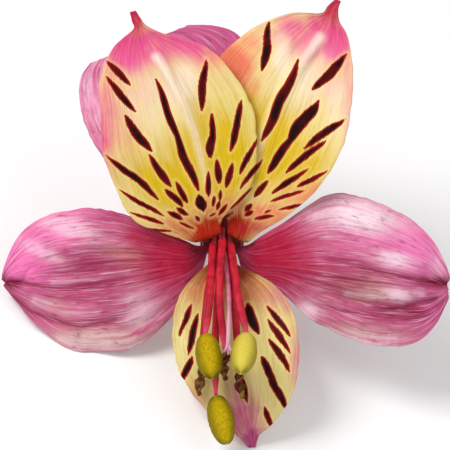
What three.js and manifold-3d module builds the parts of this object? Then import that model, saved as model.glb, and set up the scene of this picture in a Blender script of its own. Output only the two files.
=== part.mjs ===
// One cut bloom of a Peruvian lily, as picked, lying on its back on a flat surface. Millimetres, +Z up.
// The flower is drawn in its own frame: z runs out of the throat towards whoever looks into the flower,
// y runs up the face to the two upper inner tepals, x to the right, and the origin is the top of the ovary.
// It is then laid down: turned until it rests by itself, on its cut stalk and the tepals that touch first.
import * as THREE from "three";
import { ConvexHull } from "three/addons/math/ConvexHull.js";
import { mergeVertices } from "three/addons/utils/BufferGeometryUtils.js";
import Module from "manifold-3d";

const wasm = await Module();
wasm.setup();

// Driving dimensions.
const TEPAL_THICKNESS = 0.5;
const CLAW_HALF_WIDTH = 0.95; // half the width of the narrow foot of each tepal
const CLAW_HEIGHT = 8.6; // the six feet make a tube up to here, the throat
const CLAW_FLARE = 0.9; // how much wider the tube is at the throat than at the ovary
const OUTER_STEP = 0.6; // how much further out the three outer tepals stand
const THROAT_LEAN = 2.0; // how far the tube leans towards the lower side on its way to the throat
const OVARY_LENGTH = 6.6;
const OVARY_BULGE = 0.15; // how much wider the ovary is than the ring of feet on top of it
const OVARY_RIBS = 6;
const OVARY_RIB_DEPTH = 0.16;
const PEDICEL_LENGTH = 8.0; // the stalk left on the bloom after the cut
const PEDICEL_RADIUS = 1.05;
const PEDICEL_BEND = 24; // degrees, towards the lower side
const FILAMENT_RADIUS = 0.45;
const FILAMENT_CLEARANCE = 0.45; // around each stamen where they all stand together in the tube
const STYLE_RADIUS = 0.42;
const STIGMA_LOBE_LENGTH = 1.5;
const STIGMA_LOBE_RADIUS = 0.3;
const STIGMA_SPREAD = 0.9; // how far the tip of each lobe curls outwards
const FRESH_ANTHER_LENGTH = 8.0;
const FRESH_ANTHER_RADIUS = 2.2;
const SPENT_ANTHER_LENGTH = 5.0;
const SPENT_ANTHER_RADIUS = 0.9;
const GAP = 0.3; // between pieces that meet

// The style stands in the middle of the tube, the stamens in a ring around it and the tepals around those.
const STAMEN_RING_RADIUS = STYLE_RADIUS + FILAMENT_CLEARANCE + FILAMENT_RADIUS;
const INNER_RING_RADIUS = STAMEN_RING_RADIUS + FILAMENT_RADIUS + FILAMENT_CLEARANCE + TEPAL_THICKNESS / 2;
const OUTER_RING_RADIUS = INNER_RING_RADIUS + OUTER_STEP;

// Where the stations of a tepal's blade lie, as shares of the way from the throat to its tip.
const OUTER_ALONG = [0.06, 0.19, 0.37, 0.55, 0.72, 0.87, 0.955, 1];
const UPPER_ALONG = [0, 0.06, 0.16, 0.3, 0.46, 0.62, 0.77, 0.88, 0.925, 0.965, 1];
const LOWER_ALONG = [0.06, 0.16, 0.3, 0.46, 0.62, 0.77, 0.88, 0.925, 0.965, 1];

// ring and foot: where it stands on the ovary, as distance from the axis and degrees.
// tip: where the tip is in the face, as degrees and distance from the axis.
// bow: how far the midrib bows to its left. rise: the height of each station above the throat.
// left and right: the widest half-widths, looking from foot to tip, and each station's share of them.
// roll: how far the blade curls towards the viewer (or away, below 0), 10 mm left and right of the midrib.
const TEPALS = [
  {
    name: "outer_tepal_top", colour: "#d05a92", ring: OUTER_RING_RADIUS, foot: 90, along: OUTER_ALONG,
    tip: { bearing: 109.7, reach: 33.5 }, bow: 0,
    rise: [-1.3, 0, 2.2, 4.2, 5.4, 5.6, 5.4, 5.2],
    left: 14.8, leftShare: [0.16, 0.44, 0.8, 0.95, 1, 0.94, 0.84, 0.7],
    right: 14.0, rightShare: [0.16, 0.36, 0.7, 0.92, 1, 0.94, 0.72, 0.47],
    roll: { left: -1.6, right: -1.6 },
  },
  {
    name: "outer_tepal_left", colour: "#cf7fa0", ring: OUTER_RING_RADIUS, foot: 210, along: OUTER_ALONG,
    tip: { bearing: 191.7, reach: 36.0 }, bow: 0,
    rise: [-0.2, 1.0, 2.8, 3.6, 3.2, 2.0, 0.8, -0.2],
    left: 12.8, leftShare: [0.34, 0.7, 0.98, 1, 0.89, 0.52, 0.22, 0.03],
    right: 10.3, rightShare: [0.34, 0.56, 0.87, 1, 0.98, 0.75, 0.4, 0.04],
    roll: { left: -2.2, right: -1.3 },
  },
  {
    name: "outer_tepal_right", colour: "#d491b0", ring: OUTER_RING_RADIUS, foot: 330, along: OUTER_ALONG,
    tip: { bearing: -12.0, reach: 37.2 }, bow: 1.0,
    rise: [-0.2, 1.0, 2.8, 3.6, 3.2, 2.2, 1.2, 0.6],
    left: 11.4, leftShare: [0.34, 0.6, 1, 0.99, 0.87, 0.63, 0.34, 0.09],
    right: 11.5, rightShare: [0.32, 0.4, 0.78, 0.99, 1, 0.87, 0.58, 0.22],
    roll: { left: -1.3, right: -2.2 },
  },
  {
    name: "inner_tepal_upper_left", colour: "#e6c25a", ring: INNER_RING_RADIUS, foot: 150, along: UPPER_ALONG,
    tip: { bearing: 111.6, reach: 38.4 }, bow: -1.8,
    rise: [1.2, 2.0, 4.0, 6.7, 9.6, 12.0, 13.8, 14.6, 14.6, 14.3, 13.6],
    left: 12.9, leftShare: [0.13, 0.42, 0.81, 0.97, 1, 0.88, 0.72, 0.41, 0.09, 0.05, 0.025],
    right: 11.8, rightShare: [0.24, 0.3, 0.76, 0.93, 1, 0.92, 0.69, 0.23, 0.08, 0.05, 0.025],
    roll: { left: 1.0, right: 0.3 },
  },
  {
    name: "inner_tepal_upper_right", colour: "#e6c86a", ring: INNER_RING_RADIUS, foot: 30, along: UPPER_ALONG,
    tip: { bearing: 63.9, reach: 41.8 }, bow: 3.0,
    rise: [-0.4, 0, 1.5, 4.4, 7.9, 10.6, 12.6, 13.6, 13.8, 13.6, 13.0],
    left: 11.5, leftShare: [0.19, 0.24, 0.52, 0.82, 1, 0.98, 0.78, 0.46, 0.09, 0.065, 0.025],
    right: 12.4, rightShare: [0.11, 0.27, 0.58, 0.88, 1, 0.92, 0.68, 0.39, 0.18, 0.065, 0.025],
    roll: { left: -0.2, right: 1.0 },
  },
  {
    name: "inner_tepal_lower", colour: "#dccb90", ring: INNER_RING_RADIUS, foot: 270, along: LOWER_ALONG,
    tip: { bearing: 278.2, reach: 34.1 }, bow: 0,
    rise: [1.5, 3.0, 5.0, 6.4, 6.6, 6.0, 5.0, 4.4, 4.0, 3.4],
    left: 10.2, leftShare: [0.55, 0.84, 1, 0.99, 0.9, 0.7, 0.39, 0.16, 0.08, 0.04],
    right: 9.7, rightShare: [0.66, 0.86, 0.98, 1, 0.86, 0.6, 0.31, 0.19, 0.1, 0.04],
    roll: { left: 0.8, right: 0.8 },
  },
];

// foot: the place on the stamens' ring, in degrees. path: where the filament runs past the throat, as x and y
// in the face and the height above the throat. end: the direction in which the anther points from there.
const STAMENS = [
  {
    name: "left", fresh: true, foot: 150, end: [0.14, -0.84, 0.52],
    path: [[-1.5, -2.0, 4.6], [-1.9, -9.5, 11.0], [-2.7, -15.1, 12.6]],
  },
  {
    name: "right", fresh: true, foot: 30, end: [-0.12, -0.72, 0.68],
    path: [[1.5, -2.0, 4.6], [2.6, -9.5, 11.0], [4.0, -15.2, 12.4]],
  },
  {
    name: "low", fresh: true, foot: 270, end: [0.22, -0.97, 0.1],
    path: [[0, -4.4, 2.6], [-0.7, -10.2, 8.0], [-1.1, -18.0, 9.4], [-1.1, -24.7, 10.2]],
  },
  {
    name: "back_left", fresh: false, foot: 210, end: [-0.05, -0.98, 0.02],
    path: [[-1.4, -4.3, 2.8], [-2.4, -10.2, 8.2], [-3.3, -19.8, 8.8]],
  },
  {
    name: "back_middle", fresh: false, foot: 90, end: [0, -0.96, 0.2],
    path: [[0, -1.2, 5.0], [-0.4, -9.4, 10.3], [0.45, -17.4, 9.8]],
  },
  {
    name: "back_right", fresh: false, foot: 330, end: [0.1, -0.96, 0.25],
    path: [[1.4, -4.3, 2.8], [2.0, -10.2, 8.2], [2.6, -20.4, 8.8]],
  },
];
const STYLE_PATH = [[0.4, -2.9, 4.0], [1.1, -9.2, 9.3], [1.0, -17.2, 11.8]];

const ROWS_PER_SPAN = 2;
const COLUMNS = 10; // across a tepal
const TUBE_STEPS = 14;
const TUBE_SIDES = 8;
const ANTHER_SIDES = 12;
const OVARY_SIDES = 24;

const radians = THREE.MathUtils.degToRad;
const polar = (bearing, reach, z) =>
  new THREE.Vector3(reach * Math.cos(radians(bearing)), reach * Math.sin(radians(bearing)), z);

function material(colour, roughness = 0.6) {
  return new THREE.MeshStandardMaterial({ color: colour, roughness, metalness: 0 });
}

function named(name, geometry, colour, roughness) {
  const mesh = new THREE.Mesh(geometry, material(colour, roughness));
  mesh.name = name;
  return mesh;
}

// A point of the tube of feet: on a ring around its leaning axis, at a share of the way to the throat.
function inTube(bearing, radius, share) {
  const point = polar(bearing, radius, THREE.MathUtils.lerp(GAP, CLAW_HEIGHT, share));
  point.y -= THROAT_LEAN * share ** 2;
  return point;
}

const smooth = (points) => new THREE.CatmullRomCurve3(points, false, "catmullrom", 0.5);

// Three curves with the same stations: the tepal's midrib, the direction of its left margin from there and,
// as x and y, its left and right half-widths. The first two stations are the foot.
function tepalCurves({ ring, foot, along, tip, bow, rise, left, leftShare, right, rightShare }) {
  const throat = inTube(foot, ring + CLAW_FLARE, 1);
  const end = polar(tip.bearing, tip.reach, CLAW_HEIGHT);
  const way = end.clone().sub(throat).normalize();
  const bladeSide = new THREE.Vector3(-way.y, way.x, 0);
  const clawSide = polar(foot + 90, 1, 0);
  const claw = [inTube(foot, ring, 0), inTube(foot, ring + CLAW_FLARE / 2, 0.5)];
  const blade = along.map((share, i) =>
    throat.clone().lerp(end, share)
      .addScaledVector(bladeSide, bow * Math.sin(Math.PI * share))
      .setZ(CLAW_HEIGHT + rise[i]));
  const clawWidth = new THREE.Vector3(CLAW_HALF_WIDTH, CLAW_HALF_WIDTH, 0);
  const bladeWidths = along.map((_, i) => new THREE.Vector3(left * leftShare[i], right * rightShare[i], 0));
  return {
    midrib: smooth([...claw, ...blade]),
    side: smooth([...claw.map(() => clawSide), ...blade.map(() => bladeSide)]),
    width: smooth([...claw.map(() => clawWidth), ...bladeWidths]),
    spans: claw.length + blade.length - 1,
  };
}

// A point of the tepal's middle surface. s runs from -1 at the right margin to 1 at the left one,
// and t from foot to tip.
function tepalPoint({ midrib, side, width }, roll, s, t) {
  const half = width.getPoint(t);
  const reach = s * Math.max(s > 0 ? half.x : half.y, TEPAL_THICKNESS / 2);
  const point = midrib.getPoint(t).addScaledVector(side.getPoint(t).normalize(), reach);
  point.z += (s > 0 ? roll.left : roll.right) * (reach / 10) ** 2;
  return point;
}

// A tepal is a flat blank whose every point is carried to its place on the curved surface.
function tepalGeometry(tepal) {
  const curves = tepalCurves(tepal);
  const blank = new THREE.BoxGeometry(2, 1, 1, COLUMNS, curves.spans * ROWS_PER_SPAN, 1);
  const at = (s, t) => tepalPoint(curves, tepal.roll, s, t);
  const place = blank.getAttribute("position");
  const step = 1e-3;
  for (let i = 0; i < place.count; i++) {
    const s = -place.getX(i);
    const t = place.getY(i) + 0.5;
    const across = at(s + step, t).sub(at(s - step, t));
    const up = at(s, Math.min(1, t + step)).sub(at(s, Math.max(0, t - step)));
    const normal = up.cross(across).normalize();
    const point = at(s, t).addScaledVector(normal, place.getZ(i) * TEPAL_THICKNESS);
    place.setXYZ(i, point.x, point.y, point.z);
  }
  return blank;
}

// A round tube of the given radius along a smooth curve through the points.
function tube(points, radius) {
  const circle = new THREE.Shape().absarc(0, 0, radius, 0, 2 * Math.PI, false);
  const curve = new THREE.CatmullRomCurve3(points, false, "centripetal");
  return new THREE.ExtrudeGeometry(circle, {
    extrudePath: curve, steps: TUBE_STEPS, curveSegments: TUBE_SIDES / 2, bevelEnabled: false,
  });
}

// A closed body of revolution about z, from (radius, height) pairs that start and end on the axis.
function turned(profile, sides) {
  const points = profile.map(([radius, height]) => new THREE.Vector2(radius, height));
  return new THREE.LatheGeometry(points, sides).rotateX(Math.PI / 2);
}

const aboveThroat = ([x, y, height]) => new THREE.Vector3(x, y, CLAW_HEIGHT + height);

// From the ovary up the tube, in the ring of stamens (or in its middle), and out of the throat.
function stalkPoints(bearing, radius, path) {
  return [...[0, 0.5, 1].map((share) => inTube(bearing, radius, share)), ...path.map(aboveThroat)];
}

// The anther starts a gap past the filament's end and points the way the stamen says.
function antherGeometry(stamen) {
  const length = stamen.fresh ? FRESH_ANTHER_LENGTH : SPENT_ANTHER_LENGTH;
  const radius = stamen.fresh ? FRESH_ANTHER_RADIUS : SPENT_ANTHER_RADIUS;
  const profile = [
    [0, 0], [0.45, 0.01], [0.8, 0.1], [0.97, 0.28], [1, 0.5], [0.95, 0.72], [0.72, 0.91], [0.35, 0.985], [0, 1],
  ];
  const body = turned(profile.map(([r, h]) => [r * radius, h * length]), ANTHER_SIDES);
  const way = new THREE.Vector3(...stamen.end).normalize();
  const start = aboveThroat(stamen.path.at(-1)).addScaledVector(way, GAP + FILAMENT_RADIUS / 2);
  body.applyQuaternion(new THREE.Quaternion().setFromUnitVectors(new THREE.Vector3(0, 0, 1), way));
  return body.translate(start.x, start.y, start.z);
}

// The ovary hangs below the origin, widest in its upper half, with soft ribs along it.
function ovaryGeometry() {
  const top = OUTER_RING_RADIUS + TEPAL_THICKNESS;
  const widest = top + OVARY_BULGE;
  const foot = PEDICEL_RADIUS + GAP;
  const profile = [
    [0, -1], [foot, -1], [widest * 0.7, -0.88], [widest * 0.93, -0.65], [widest, -0.38],
    [widest * 0.98, -0.14], [top, 0], [0, 0],
  ];
  const body = turned(profile.map(([r, h]) => [r, h * OVARY_LENGTH]), OVARY_SIDES);
  const place = body.getAttribute("position");
  for (let i = 0; i < place.count; i++) {
    const angle = Math.atan2(place.getY(i), place.getX(i));
    const swell = 1 + (OVARY_RIB_DEPTH / widest) * Math.cos(OVARY_RIBS * angle);
    place.setXY(i, place.getX(i) * swell, place.getY(i) * swell);
  }
  return body;
}

// The stalk hangs from the ovary and bends towards the lower side.
function pedicelGeometry() {
  const top = new THREE.Vector3(0, 0, -OVARY_LENGTH - GAP);
  const points = [0, 0.1, 0.4, 0.7, 1].map((share) => {
    const turn = radians(PEDICEL_BEND) * share / 2;
    const length = PEDICEL_LENGTH * share;
    return top.clone().add(new THREE.Vector3(0, -length * Math.sin(turn), -length * Math.cos(turn)));
  });
  return tube(points, PEDICEL_RADIUS);
}

function toSolid(geometry) {
  const plain = geometry.clone().deleteAttribute("normal").deleteAttribute("uv");
  const merged = mergeVertices(plain, 1e-4);
  const vertProperties = merged.attributes.position.array;
  return new wasm.Manifold(new wasm.Mesh({ numProp: 3, vertProperties, triVerts: merged.index.array }));
}

function fromSolid(solid) {
  const mesh = solid.getMesh();
  return new THREE.BufferGeometry()
    .setAttribute("position", new THREE.BufferAttribute(mesh.vertProperties, 3))
    .setIndex(new THREE.BufferAttribute(mesh.triVerts, 1));
}

// The style ends in three short lobes that spread around its own direction.
function styleGeometry() {
  const points = stalkPoints(0, 0, STYLE_PATH);
  const end = points.at(-1);
  const way = end.clone().sub(points.at(-2)).normalize();
  const across = new THREE.Vector3(1, 0, 0).cross(way).normalize();
  const root = end.clone().addScaledVector(way, -STYLE_RADIUS);
  let solid = toSolid(tube(points, STYLE_RADIUS));
  for (const turn of [0, 120, 240]) {
    const spread = across.clone().applyAxisAngle(way, radians(turn));
    const lobe = [0, 0.5, 1].map((share) =>
      root.clone()
        .addScaledVector(way, share * STIGMA_LOBE_LENGTH)
        .addScaledVector(spread, share * share * STIGMA_SPREAD));
    solid = solid.add(toSolid(tube(lobe, STIGMA_LOBE_RADIUS)));
  }
  return fromSolid(solid);
}

// Every vertex of the flower and the centre of its volume.
function cornersAndCentre(flower) {
  const corners = [];
  const centre = new THREE.Vector3();
  let volume = 0;
  for (const mesh of flower.children) {
    const loose = mesh.geometry.index ? mesh.geometry.toNonIndexed() : mesh.geometry;
    const place = loose.getAttribute("position");
    const points = [];
    for (let i = 0; i < place.count; i++) points.push(new THREE.Vector3().fromBufferAttribute(place, i));
    corners.push(...points);
    for (let i = 0; i < points.length; i += 3) {
      const [a, b, c] = points.slice(i, i + 3);
      const cell = a.dot(b.clone().cross(c)) / 6;
      volume += cell;
      centre.addScaledVector(a.clone().add(b).add(c), cell / 4);
    }
  }
  return { corners, centre: centre.divideScalar(volume) };
}

// Turns and drops the flower as it would settle: it rolls onto the face of its hull that its weight points
// through, again and again, until that is the face it stands on. Its open face then looks towards -Y.
function layDown(flower) {
  const { corners, centre } = cornersAndCentre(flower);
  const faces = new ConvexHull().setFromPoints(corners).faces;
  let down = new THREE.Vector3(0, -1, -1).normalize();
  let floor = null;
  for (;;) {
    const reach = (face) => {
      const slope = face.normal.dot(down);
      return slope > 0 ? (face.constant - face.normal.dot(centre)) / slope : Infinity;
    };
    const under = faces.reduce((best, face) => (reach(face) < reach(best) ? face : best));
    if (under === floor) break;
    floor = under;
    down = under.normal;
  }
  const drop = new THREE.Quaternion().setFromUnitVectors(down, new THREE.Vector3(0, 0, -1));
  const facing = new THREE.Vector3(0, 0, 1).applyQuaternion(drop);
  const heading = Math.atan2(facing.y, facing.x);
  const swing = new THREE.Quaternion().setFromAxisAngle(new THREE.Vector3(0, 0, 1), -Math.PI / 2 - heading);
  flower.quaternion.copy(swing.multiply(drop));
  const laid = corners.map((corner) => corner.clone().applyQuaternion(flower.quaternion));
  const box = new THREE.Box3().setFromPoints(laid);
  const middle = box.getCenter(new THREE.Vector3());
  flower.position.set(-middle.x, -middle.y, -box.min.z);
}

const flower = new THREE.Group();
for (const tepal of TEPALS) flower.add(named(tepal.name, tepalGeometry(tepal), tepal.colour));
for (const stamen of STAMENS) {
  const stalk = stalkPoints(stamen.foot, STAMEN_RING_RADIUS, stamen.path);
  flower.add(named(`filament_${stamen.name}`, tube(stalk, FILAMENT_RADIUS), "#c0304a", 0.5));
  const pollen = stamen.fresh ? "#b09a14" : "#5a4420";
  flower.add(named(`anther_${stamen.name}`, antherGeometry(stamen), pollen, 0.8));
}
flower.add(named("style", styleGeometry(), "#d48aa6", 0.5));
flower.add(named("ovary", ovaryGeometry(), "#7f9a4a", 0.5));
flower.add(named("pedicel", pedicelGeometry(), "#86a058", 0.5));
layDown(flower);

const bloom = new THREE.Group().add(flower);
export default bloom;
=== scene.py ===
"""Looks of one cut Peruvian lily bloom: six tepals, six stamens, style, ovary and stalk.

Every shape is laid out in millimetres in the bloom's own frame: z runs out of the throat, y up
the face, x to its right, and the origin is the top of the ovary. A Seat carries the finished
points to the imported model's frame in metres.
"""

from __future__ import annotations

import logging
import math
from collections.abc import Callable, Sequence
from dataclasses import dataclass, field, replace
from enum import Enum

import bmesh
import bpy
import numpy as np
from mathutils import Matrix, Vector


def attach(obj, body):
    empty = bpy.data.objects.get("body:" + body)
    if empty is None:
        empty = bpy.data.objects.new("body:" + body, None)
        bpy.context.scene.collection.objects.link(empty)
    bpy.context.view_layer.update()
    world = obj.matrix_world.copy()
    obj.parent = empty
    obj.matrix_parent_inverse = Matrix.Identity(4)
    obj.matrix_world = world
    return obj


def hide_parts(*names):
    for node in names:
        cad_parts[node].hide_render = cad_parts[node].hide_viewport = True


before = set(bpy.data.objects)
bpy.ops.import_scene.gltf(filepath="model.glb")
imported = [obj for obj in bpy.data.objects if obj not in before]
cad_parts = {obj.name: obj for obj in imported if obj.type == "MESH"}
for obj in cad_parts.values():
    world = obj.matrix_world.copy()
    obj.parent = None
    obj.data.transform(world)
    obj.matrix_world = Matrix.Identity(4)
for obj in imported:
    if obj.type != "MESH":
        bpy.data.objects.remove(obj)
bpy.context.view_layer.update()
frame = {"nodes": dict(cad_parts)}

LOG = logging.getLogger("cut_lily")
MM = 0.001
BODY = "root"

# ---------------------------------------------------------------- driving sizes, in millimetres and degrees

TEPAL_THICKNESS = 0.5
CLAW_HALF_WIDTH = 0.95  # half the width of the narrow foot of each tepal
CLAW_HEIGHT = 8.6  # the six feet make a tube up to here, the throat
CLAW_FLARE = 0.9  # how much wider the tube is at the throat than at the ovary
CLAW_SHARE = 0.18  # how far the shares along a blade go below 0 on its claw
OUTER_STEP = 0.6  # how much further out the three outer tepals stand
SHEET_EDGE = 0.25  # the least half width of a tepal
ROLL_REACH = 10.0  # how far from the midrib a blade's roll is measured
THROAT_LEAN = 2.0  # how far the tube leans towards the lower side on its way to the throat
OVARY_LENGTH = 6.6
OVARY_RIM = 0.5  # how much wider the top of the ovary is than the ring of feet on it
PEDICEL_LENGTH = 8.0  # the stalk left on the bloom after the cut
PEDICEL_RADIUS = 1.05
PEDICEL_BEND = 24.0  # towards the lower side
FILAMENT_RADIUS = 0.45
FILAMENT_CLEARANCE = 0.45  # around each stamen where they all stand together in the tube
STYLE_RADIUS = 0.42
FRESH_ANTHER_LENGTH = 8.0
FRESH_ANTHER_RADIUS = 2.2
SPENT_ANTHER_LENGTH = 5.0
SPENT_ANTHER_RADIUS = 0.9
GAP = 0.3  # between pieces that meet

STAMEN_RING = STYLE_RADIUS + FILAMENT_CLEARANCE + FILAMENT_RADIUS
INNER_RING = STAMEN_RING + FILAMENT_RADIUS + FILAMENT_CLEARANCE + TEPAL_THICKNESS / 2
OUTER_RING = INNER_RING + OUTER_STEP

Point2 = tuple[float, float]
Point3 = tuple[float, float, float]


# ---------------------------------------------------------------- shared measures and curves


def polar(bearing: float, reach: float, height: float) -> np.ndarray:
    """Point at a bearing in degrees and a reach from the bloom's axis."""
    turn = math.radians(bearing)
    return np.array([reach * math.cos(turn), reach * math.sin(turn), height])


def in_tube(bearing: float, radius: float, share: float) -> np.ndarray:
    """Point on a ring inside the leaning throat tube, with share 0 at its foot and 1 at its mouth."""
    point = polar(bearing, radius, GAP + (CLAW_HEIGHT - GAP) * share)
    point[1] -= THROAT_LEAN * share**2
    return point


def smooth_curve(stations: Sequence[Sequence[float]], place: np.ndarray) -> np.ndarray:
    """Points on a smooth curve through evenly counted stations.

    Args:
        stations: the points that the curve passes through.
        place: where along the curve, from 0 to 1 over all its spans.

    Returns:
        One row for each place.
    """
    knots = np.asarray(stations, float)
    spans = len(knots) - 1
    padded = np.vstack([2 * knots[0] - knots[1], knots, 2 * knots[-1] - knots[-2]])
    where = np.clip(place, 0.0, 1.0) * spans
    span = np.minimum(where.astype(int), spans - 1)
    part = (where - span)[..., None]
    before, start, end, after = (padded[span + step] for step in range(4))
    leave, arrive = (end - before) / 2, (after - start) / 2
    return (
        start
        + leave * part
        + (3 * (end - start) - 2 * leave - arrive) * part**2
        + (2 * (start - end) + leave + arrive) * part**3
    )


def ease(low: float, high: float, value: np.ndarray) -> np.ndarray:
    """Smooth step of value from 0 at low to 1 at high."""
    part = np.clip((value - low) / (high - low), 0.0, 1.0)
    return part * part * (3 - 2 * part)


def ripple(across: np.ndarray, along: np.ndarray, seed: int) -> np.ndarray:
    """Smooth unevenness between -1 and 1 on a lattice of unit cells.

    Args:
        across: first coordinate, in cells.
        along: second coordinate, in cells.
        seed: which of the fixed patterns to use.

    Returns:
        The unevenness at each place.
    """
    size = 61
    lattice = np.random.default_rng(seed).uniform(-1.0, 1.0, (size, size))
    column, row = np.floor(across).astype(int), np.floor(along).astype(int)
    part_u, part_v = across - column, along - row
    part_u, part_v = part_u**2 * (3 - 2 * part_u), part_v**2 * (3 - 2 * part_v)

    def knot(step_u: int, step_v: int) -> np.ndarray:
        """Lattice values at one corner of each cell."""
        return lattice[(column + step_u) % size, (row + step_v) % size]

    low = knot(0, 0) * (1 - part_u) + knot(1, 0) * part_u
    high = knot(0, 1) * (1 - part_u) + knot(1, 1) * part_u
    return low * (1 - part_v) + high * part_v


def line_distance(points: np.ndarray, line: Sequence[Point2]) -> tuple[np.ndarray, np.ndarray]:
    """Distance from each point to a chain of segments, and how far along the chain it is nearest.

    Args:
        points: one row of two numbers for each point.
        line: the chain's corners.

    Returns:
        The distances, and the shares of the chain's length from 0 to 1.
    """
    corners = np.asarray(line, float)
    lengths = np.hypot(*(corners[1:] - corners[:-1]).T)
    total, done = lengths.sum(), 0.0
    best = np.full(len(points), 1e9)
    share = np.zeros(len(points))
    for start, end, length in zip(corners[:-1], corners[1:], lengths):
        way = (end - start) / length
        reach = np.clip((points - start) @ way, 0.0, length)
        gap = np.hypot(*(points - start - reach[:, None] * way).T)
        nearer = gap < best
        best[nearer] = gap[nearer]
        share[nearer] = (done + reach[nearer]) / total
        done += length
    return best, share


# ---------------------------------------------------------------- tepal shapes


class Tint(Enum):
    """A colour zone that a tepal can carry, stored on its mesh under this name. Pale is partly paler tissue
    and partly painted highlight; ember is the claws' own red with painted shade in the throat and at the
    tepals' bases; deep is the dark tips and horns, and partly painted crease shade along the outer tepals'
    folds.
    """

    GOLD = "gold"
    SALMON = "salmon"
    BLUSH = "blush"
    # pale tissue, partly painted highlight on lit bulges and ridge crests
    PALE_HIGHLIGHT = "pale"
    # the claws' own red, with painted shade in the throat and at the tepals' bases
    EMBER_AND_THROAT_SHADE = "ember"
    # dark tips and horns, and partly painted crease shade along the outer tepals' folds
    DEEP_AND_CREASE_SHADE = "deep"


GOLD, SALMON, BLUSH, PALE_HIGHLIGHT, EMBER_AND_THROAT_SHADE, DEEP_AND_CREASE_SHADE = Tint


PATCH_FALL = 4  # how sharply a patch ends


@dataclass(frozen=True)
class Patch:
    """A soft-edged patch of one colour zone on the face, painted highlight in the pale zone and partly
    painted shade in the ember and deep zones: its middle and half sizes in millimetres, turned in degrees.
    """

    tint: Tint
    middle: Point2
    size: Point2
    strength: float = 1.0
    turn: float = 0.0

    def strength_at(self, face: np.ndarray) -> np.ndarray:
        """How strongly the patch shows at each point of the face."""
        turn = math.radians(self.turn)
        offset = face - np.asarray(self.middle)
        along = offset[:, 0] * math.cos(turn) + offset[:, 1] * math.sin(turn)
        across = offset[:, 1] * math.cos(turn) - offset[:, 0] * math.sin(turn)
        far = np.hypot(along / self.size[0], across / self.size[1])
        return self.strength / (1 + far**PATCH_FALL)


@dataclass(frozen=True)
class Fold:
    """A ridge or a furrow along a line on the face, which may be tinted along its bottom or crest: along a
    furrow's bottom partly the tissue's own crease colour and partly painted crease shade, along a ridge's
    crest a painted highlight.
    """

    line: tuple[Point2, ...]
    width: float
    lift: Point2
    tint: Tint | None = None
    # how strongly the tint shows at the line's start and end: crease colour with painted crease shade in
    # furrows, painted highlight on ridges
    stain: Point2 = (0.0, 0.0)
    tint_and_light_width: float = 0.5

    def lift_at(self, face: np.ndarray) -> np.ndarray:
        """Height in millimetres that the fold adds at each point of the face."""
        gap, share = line_distance(face, self.line)
        height = self.lift[0] + (self.lift[1] - self.lift[0]) * share
        return height * np.exp(-((gap / self.width) ** 2))

    def tint_and_light_at(self, face: np.ndarray) -> np.ndarray:
        """How strongly the fold's tint shows at each point of the face: crease colour with painted shade in
        a furrow, a painted highlight on a ridge.
        """
        gap, share = line_distance(face, self.line)
        strength = self.stain[0] + (self.stain[1] - self.stain[0]) * share
        return strength * np.exp(-((gap / self.tint_and_light_width) ** 2))


@dataclass(frozen=True)
class Fleck:
    """One dark streak on the face, from its outer end to its end nearer the throat, in millimetres."""

    outer: Point2
    inner: Point2
    width: float
    blunt: float = 0.55

    def distance(self, face: np.ndarray) -> np.ndarray:
        """Signed distance to the streak's edge in millimetres, negative inside it."""
        start, end = np.asarray(self.inner), np.asarray(self.outer)
        length = float(np.hypot(*(end - start)))
        way = (end - start) / length
        offset = face - start
        reach = offset @ way
        sway_share, sway_turn, sway_start = 0.09, 0.8, 2.3
        sway = sway_share * self.width * np.sin(reach * sway_turn + start[0] * sway_start)
        aside = offset @ np.array([-way[1], way[0]]) - sway
        share = np.clip(reach / length, 0.0, 1.0)
        beyond = reach - share * length
        half_share, round_end, lean = 0.46, 0.02, 0.9
        taper = np.sin(np.pi * np.clip(share, round_end, 1 - round_end) ** lean) ** self.blunt
        return np.hypot(aside, beyond) - half_share * self.width * taper


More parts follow.
